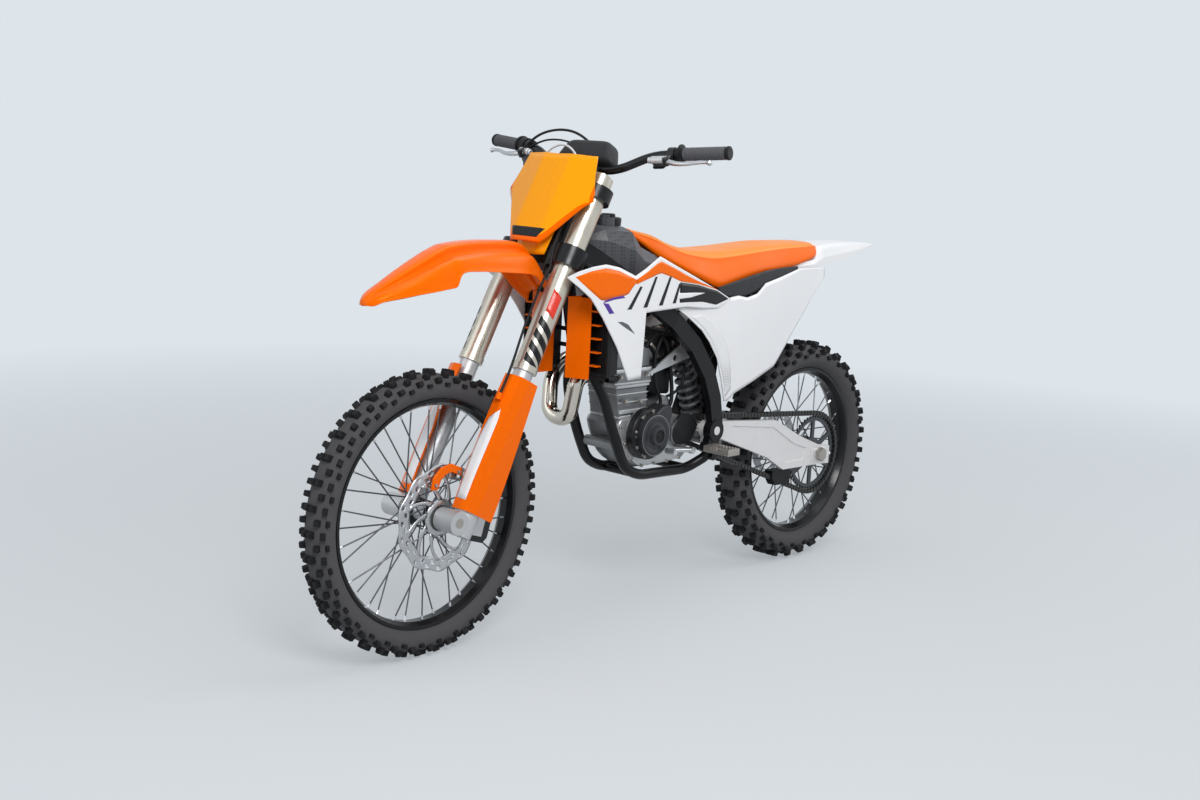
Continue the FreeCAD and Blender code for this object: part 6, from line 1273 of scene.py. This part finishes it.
def hoseParts():
    # each tube along its Catmull-Rom path; the thick ones have a band near both ends; then the lead's tray
    parts = []
    for path, radius in tubes.values():
        line = smoothPath(path, 10)
        parts.append(tubeAlong(line, radius, 16) + ("blackHoseRubber",))
        if radius > hoseClamps["leastRadius"]:
            band = np.array(hoseClamps["band"]) * [1, radius]
            for at in hoseClamps["places"]:
                parts.append(turned(band, line[at], line[at + 1] - line[at], 24) + ("zincPlatedSteel",))
    return parts + [plateOf(roundEdge(tray["edge"], tray["round"]), *tray["sides"], tray["bevel"])
                    + ("mouldedBlackNylon",)]


newPiece("engineHoses", hoseParts(), "chassis", smooth=50)
print("engine details made")

# Radiators: upright fins in a frame, an orange shield inside and thin louvres outside

cooler = {
    "back": 1030.6, "face": 1034.6, "inner": 46.0, "crease": 104.0, "outer": 150.0, "low": 650.0,
    "high": 855.0, "reach": 50.0, "bend": 0.52, "wall": 4.0, "fins": 17, "finThick": 2.2, "louvres": 5,
    "louvreTall": 3.5, "louvreDeep": 16.0, "louvreWide": 26.0,
}


def boxesAt(lows, highs):  # upright boxes between pairs of opposite corners
    lows, highs = np.asarray(lows, float)[:, None], np.asarray(highs, float)[:, None]
    pick = np.array([(0, 0, 0), (1, 0, 0), (1, 1, 0), (0, 1, 0), (0, 0, 1), (1, 0, 1), (1, 1, 1),
                     (0, 1, 1)])[None]
    points = np.where(pick == 1, highs, lows).reshape(-1, 3)
    faces = np.array([(3, 2, 1, 0), (4, 5, 6, 7), (0, 1, 5, 4), (1, 2, 6, 5), (2, 3, 7, 6), (3, 0, 4, 7)])
    return points, copiesOf(faces, 8, len(lows))


def coolerParts(spec, side):
    # an upright folded shield, louvres at equal heights outside it, fins at equal steps across, and the
    # core's frame
    back, face, inner, crease, outer = (spec[key] for key in ("back", "face", "inner", "crease", "outer"))
    low, high, wall, reach = (spec[key] for key in ("low", "high", "wall", "reach"))
    bend = back + reach * spec["bend"]
    edge = np.array([(back + reach, inner), (back + reach, inner + wall), (bend, crease),
                     (bend - 3, crease), (back + reach - 8, inner + wall), (back + 0.5, inner + wall),
                     (back + 0.5, inner)])
    shield = np.stack([np.concatenate([edge, np.full((len(edge), 1), level)], 1) for level in (low, high)])
    parts = [(shield.reshape(-1, 3), gridFaces(2, len(edge), roundColumns=True), "glossOrangePlastic")]
    rise = low + (high - low) / (spec["louvres"] + 1) * (np.arange(spec["louvres"]) + 1)
    ahead = back + reach * 0.5
    parts.append(boxesAt([(ahead - spec["louvreDeep"], crease - 2, z) for z in rise],
                         [(ahead, crease + spec["louvreWide"], z + spec["louvreTall"]) for z in rise])
                 + ("glossOrangePlastic",))
    left = np.linspace(inner + 8, outer - 4, spec["fins"])
    parts.append(boxesAt([(back - 1, y, low + 6) for y in left],
                         [(face, y + spec["finThick"], high - 6) for y in left]) + ("blackRadiatorCore",))
    rails = [(back - 2, inner + 5, low - 2), (back - 2, inner + 5, high - 8),
             (back - 2, outer - 4, low - 2)]
    ends = [(face + 3, outer, low + 8), (face + 3, outer, high + 2), (face + 3, outer, high + 2)]
    parts.append(boxesAt(rails, ends) + ("mouldedBlackNylon",))
    return [(points * [1, side, 1], faces[:, ::side], finish) for points, faces, finish in parts]


shields = [part for side in (1, -1) for part in coolerParts(cooler, side)]
newPiece("radiatorShields", shields, "chassis", "radiator_guards", smooth=30)
print("radiators made")

# Bar ends: ribbed grips, and at each end a clamped perch with its lever and cylinder

controls = {
    "middle": (168.0, 0.0, 109.0), "bend": (223.0, -10.0, 201.5), "end": (255.0, -39.0, 403.0),
    "barRadius": 11.0, "bendReach": 38.0, "drop": 56.0,
    "grip": [(-1.5, 0), (-1.5, 14.5), (0, 16.8), (5, 17), (6.5, 15.8)], "ribs": (9.0, 121.0, 38),
    "ribRadius": (15.5, 16.3),
    "flange": [(124, 16.6), (127, 22), (128, 24.5), (131.5, 24.5), (133, 23), (133, 11.2), (0.4, 11.2),
               (0.4, 0)],
    # distance from the bar's end, reach in front of it, radius
    "blade": [(162, 30, 6.5), (145, 40, 7), (120, 49, 6), (92, 50, 5.2), (64, 45, 4.8), (44, 45, 4.6),
              (32, 49, 5.2)],
    "knob": 7.0, "neck": 9.0, "bladeAt": 146, "bore": 11.1, "tankReach": 21, "tankLift": 8,
    "spoutRadius": 5.5,
    "left": {"clamp": (146, 164, 18), "housing": (135.5, 144, 16.5), "cylinder": (150, 214, 10),
             "tank": (186, 15, 9, 10)},
    "right": {"clamp": (164, 180, 18), "housing": (135, 160, 21.5), "cylinder": (152, 200, 10.5),
              "tank": (184, 24, 15, 26)},
    "spout": (222, 2, -236),
}


def barEnd(side):
    # places by the bar's end: inward along it, in front of it and below, and square to both
    bend, end = (onFork(along, out, side * left)
                 for along, out, left in (controls["bend"], controls["end"]))
    way = (bend - end) / np.linalg.norm(bend - end)
    drop = np.radians(controls["drop"])
    ahead = np.cos(drop) * steerOut - np.sin(drop) * steerUp
    ahead -= (ahead @ way) * way
    ahead /= np.linalg.norm(ahead)
    top = np.cross(ahead, way) * side

    def place(inward, reach, lift=0.0):  # end + inward * way + reach * ahead + lift * top
        inward, reach, lift = np.broadcast_arrays(*(np.asarray(v, float) for v in (inward, reach, lift)))
        return end + inward[..., None] * way + reach[..., None] * ahead + lift[..., None] * top

    return place, way, top


def cupBlock(place, inward, reach, lift, halfLong, halfWide, tall):
    # a block whose plan is |a|^5 + |b|^5 = 1
    turn = np.linspace(0, 2 * np.pi, 28, endpoint=False)
    a, b = (np.sign(f(turn)) * np.abs(f(turn)) ** 0.4 for f in (np.cos, np.sin))
    rings = [(0, 0), (1, 0), (1, tall - 1.5), (0.93, tall), (0, tall)]
    points = np.stack([place(inward + a * halfLong * share, reach + b * halfWide * share, lift + rise)
                       for share, rise in rings])
    return points.reshape(-1, 3), gridFaces(len(rings), len(turn), roundColumns=True)


def gripParts(place, way):
    # a profile turned about the bar: its closed end, ribs as a square wave between two radii, and the
    # flange
    first, last, count = controls["ribs"]
    at = np.linspace(first, last, 2 * count)
    ribs = np.stack([at, np.where(np.arange(2 * count) % 4 < 2, *controls["ribRadius"])], -1)
    profile = np.concatenate([controls["grip"], ribs, controls["flange"]])
    points, faces = turned(profile, place(0, 0), way, 36)
    row = np.arange(len(faces)) % (len(profile) - 1)
    black = (row < len(controls["grip"])) | (row > len(controls["grip"]) + 2 * count - 2)
    return [(points, faces, (["mouldedGripRubber", "mouldedBlackNylon"], black.astype(int)))]


def bandAt(place, way, low, high, radius):  # a clamp round the bar, its edges broken
    bore = controls["bore"]
    edge = [(low, bore), (low, radius - 1.2), (low + 1.2, radius), (high - 1.2, radius),
            (high, radius - 1.2), (high, bore), (low, bore)]
    return turned(edge, place(0, 0), way, 32)


def controlParts(side, place, way, top):
    # two bands round the bar, a neck to the pivot, a turned cylinder and knob, the blade as a tube of
    # changing radius, and the fluid's tank; the right side has the cables' spout too
    spec = controls["left" if side > 0 else "right"]
    shift = spec["clamp"][0] - controls["bladeAt"]
    low, high, radius = spec["cylinder"]
    middle = sum(spec["clamp"][:2]) / 2
    inward, reach, size = smoothPath(np.array(controls["blade"]) + [shift, 0, 0], 5).T
    knob, bevel = controls["knob"], controls["knob"] * 0.7
    parts = [bandAt(place, way, *spec["clamp"]) + ("blackPaintedCasting",),
             bandAt(place, way, *spec["housing"]) + ("mouldedBlackNylon",),
             tubeAlong(place(np.array([middle] * 3), np.array([8.0, 20, 38])), controls["neck"], 16)
             + ("blackPaintedCasting",),
             turned([(-11, 0), (-11, 5), (-9.5, 6), (-9.5, 8.5), (9.5, 8.5), (9.5, 6), (11, 5), (11, 0)],
                    place(middle + 2, 36), top, 16) + ("blackPaintedCasting",),
             turned([(low, 0), (low, radius - 2), (low + 2, radius), (high - 12, radius),
                     (high - 10, radius - 2), (high - 2, radius - 2), (high, radius - 4), (high, 0)],
                    place(0, 21, 3), way, 24) + ("blastedCastAlloy",),
             tubeAlong(place(inward, reach), size, 12) + ("forgedLeverAlloy",),
             turned([(-knob, 0), (-bevel, bevel), (0, knob), (bevel, bevel), (knob, 0)],
                    place(inward[-1], reach[-1]), way, 14) + ("forgedLeverAlloy",)]
    at, halfLong, halfWide, tall = spec["tank"]
    out, lift = controls["tankReach"], controls["tankLift"]
    parts += [cupBlock(place, at, out, lift, halfLong, halfWide, tall) + ("charcoalPaintedCasting",),
              cupBlock(place, at, out, lift + tall, halfLong + 1.5, halfWide + 1.5, 4)
              + ("mouldedBlackNylon",)]
    bolts = place(at + np.array([-0.7, 0.7]) * halfLong, out, lift + 3.5 + tall)
    parts.append(atEach(socketHead(2.6, 2.0), bolts, top) + ("zincPlatedSteel",))
    if side < 0:
        spout = np.stack([place(148, 6, 12), place(150, 14, 16), onFork(*controls["spout"])])
        parts.append(tubeAlong(smoothPath(spout, 4), controls["spoutRadius"], 12) + ("mouldedBlackNylon",))
    return parts


def barPath():
    # straight runs joined by a quadratic curve at each bend: (1 - t)^2 start + 2 t (1 - t) corner + t^2 end
    half = [controls["middle"], controls["bend"], controls["end"]]
    corners = np.array([(a, b, -c) for a, b, c in half[::-1]] + half)
    way = np.diff(corners, axis=0)
    way /= np.linalg.norm(way, axis=1, keepdims=True)
    inner = corners[1:-1]
    start, end = inner - way[:-1] * controls["bendReach"], inner + way[1:] * controls["bendReach"]
    t = np.linspace(0, 1, 9)[None, :, None]
    curve = (1 - t) ** 2 * start[:, None] + 2 * t * (1 - t) * inner[:, None] + t ** 2 * end[:, None]
    return onFork(*np.concatenate([corners[:1], curve.reshape(-1, 3), corners[-1:]]).T)


newPiece("bentHandlebar", [tubeAlong(barPath(), controls["barRadius"], 24) + ("blackAnodisedAlloy",)],
         "steering", "handlebar")
ends = [(side, *barEnd(side)) for side in (1, -1)]
gripped = [part for _, place, way, _ in ends for part in gripParts(place, way)]
held = [part for end in ends for part in controlParts(*end)]
newPiece("ribbedGrips", gripped, "steering", "grips", smooth=30)
newPiece("perchesAndLevers", held, "steering", "bar_controls", smooth=36)
print("bar ends made")

# The caliper's bracket: a bent plate from the fork's foot over the disc, with its two bolts

bracket = {"left": 70.0, "wall": 5.0,
           "low": [(1514, 421), (1505, 443), (1488, 455), (1473, 458), (1441, 445)],
           "high": [(1533, 421), (1528, 450), (1504, 472), (1474, 479), (1441, 464)],
           "bolts": [(1521, 432), (1452, 456)]}


def onBracket(x, z, proud):  # upright, at one distance to the left
    return np.stack([x, np.full(x.shape, bracket["left"]), z], -1)


points, faces = filmSheet(bracket["low"][::-1], bracket["high"][::-1], onBracket)
newPiece("caliperBracket", [(points, faces[:, ::-1], "glossOrangePlastic")], "steering",
         smooth=50, closed=False, wall=bracket["wall"])
spots = [(x, bracket["left"] + 1, z) for x, z in bracket["bolts"]]
newPiece("bracketBolts", [atEach(hexHead(4.0, 3.5), spots) + ("zincPlatedSteel",)], "steering",
         smooth=30)
print("caliper bracket made")

# Chain: a round link plate at every pin, on both sides of the loop

chainLine = {"pitch": 15.875, "teeth": (48, 13), "shaft": (623.0, 476.0), "left": 70.0, "out": 8.6,
             "plate": 6.4, "thick": 2.2, "arcSteps": 60}


def pinPlaces(spec):
    # the two pitch circles, radius = pitch / (2 sin(pi / teeth)), joined by their outer tangents, cut into
    # equal pitches
    rear, front = np.array(layout["rearAxle"])[[0, 2]], np.array(spec["shaft"])
    big, small = (spec["pitch"] / (2 * np.sin(np.pi / teeth)) for teeth in spec["teeth"])
    run = front - rear
    tilt, lean = np.arctan2(run[1], run[0]), np.arccos((big - small) / np.hypot(*run))

    def arc(centre, radius, start, end):  # centre + radius (cos a, sin a)
        turn = np.linspace(start, end, spec["arcSteps"])[:, None]
        return centre + radius * np.concatenate([np.cos(turn), np.sin(turn)], 1)

    loop = np.concatenate([arc(rear, big, tilt + lean, tilt + 2 * np.pi - lean),
                           arc(front, small, tilt - lean, tilt + lean)])
    loop = np.concatenate([loop, loop[:1]])
    around = np.linalg.norm(np.diff(loop, axis=0), axis=1).sum()
    flat = alongEdge(loop, 2 * round(around / spec["pitch"] / 2) + 1)[:-1]
    return np.stack([flat[:, 0], 0 * flat[:, 0], flat[:, 1]], -1)


half, radius = chainLine["thick"] / 2, chainLine["plate"]
link = turned([(-half, 0), (-half, radius), (half, radius), (half, 0)], sides=10)
pins = np.concatenate([pinPlaces(chainLine) + [0, chainLine["left"] + side * chainLine["out"], 0]
                       for side in (1, -1)])
newPiece("chainPlates", [atEach(link, pins) + ("oiledChainSteel",)], "chassis")
print("chain plates made")

# Behind the shock: the inner mudguard, and the rubber boot from the cylinder to the airbox; on top the
# tank's cap

inside = {
    "guard": [(505, 480), (478, 540), (462, 600), (452, 670), (446, 740), (440, 800)], "half": 60.0,
    "curl": 26.0, "wall": 2.6, "grid": (22, 15),
    "boot": [(706, 0, 655), (670, 0, 668), (620, 0, 684), (560, 0, 690)], "bootRadius": 31.0, "ribs": 9,
    "fold": 2.2,
    "cap": [(1028, 0), (1028, 34.4), (1045, 35.4), (1048, 34.2), (1049.5, 30), (1049.5, 19.5),
            (1057, 18.6), (1058.5, 16), (1058.5, 0)],
    "capAt": (899.0, 0.0, 0.0),
}


def guardSheet(spec):  # P(s, v) = edge(s), v * half to the side, and curl * v^4 forward
    rows, columns = spec["grid"]
    edge = alongEdge(spec["guard"], rows)
    v = np.broadcast_to(np.linspace(-1, 1, columns), (rows, columns))
    points = np.stack([edge[:, :1] + spec["curl"] * v ** 4, v * spec["half"], edge[:, 1:] + 0 * v], -1)
    return points.reshape(-1, 3), gridFaces(rows, columns)[:, ::-1], "mouldedBlackNylon"


def bootTube(spec):  # a tube whose radius is bootRadius + fold cos(2 pi ribs s)
    path = smoothPath(spec["boot"], 16)
    wave = np.cos(np.linspace(0, 2 * np.pi * spec["ribs"], len(path)))
    return tubeAlong(path, spec["bootRadius"] + spec["fold"] * wave, 28) + ("blackHoseRubber",)


newPiece("innerMudguard", [guardSheet(inside)], "chassis", closed=False,
         wall=inside["wall"])
newPiece("intakeBoot", [bootTube(inside)], "chassis")
newPiece("tankCap", [turned(inside["cap"], inside["capAt"], (0, 0, 1), 40) + ("mouldedBlackNylon",)],
         "chassis", smooth=30)
print("inner pieces made")
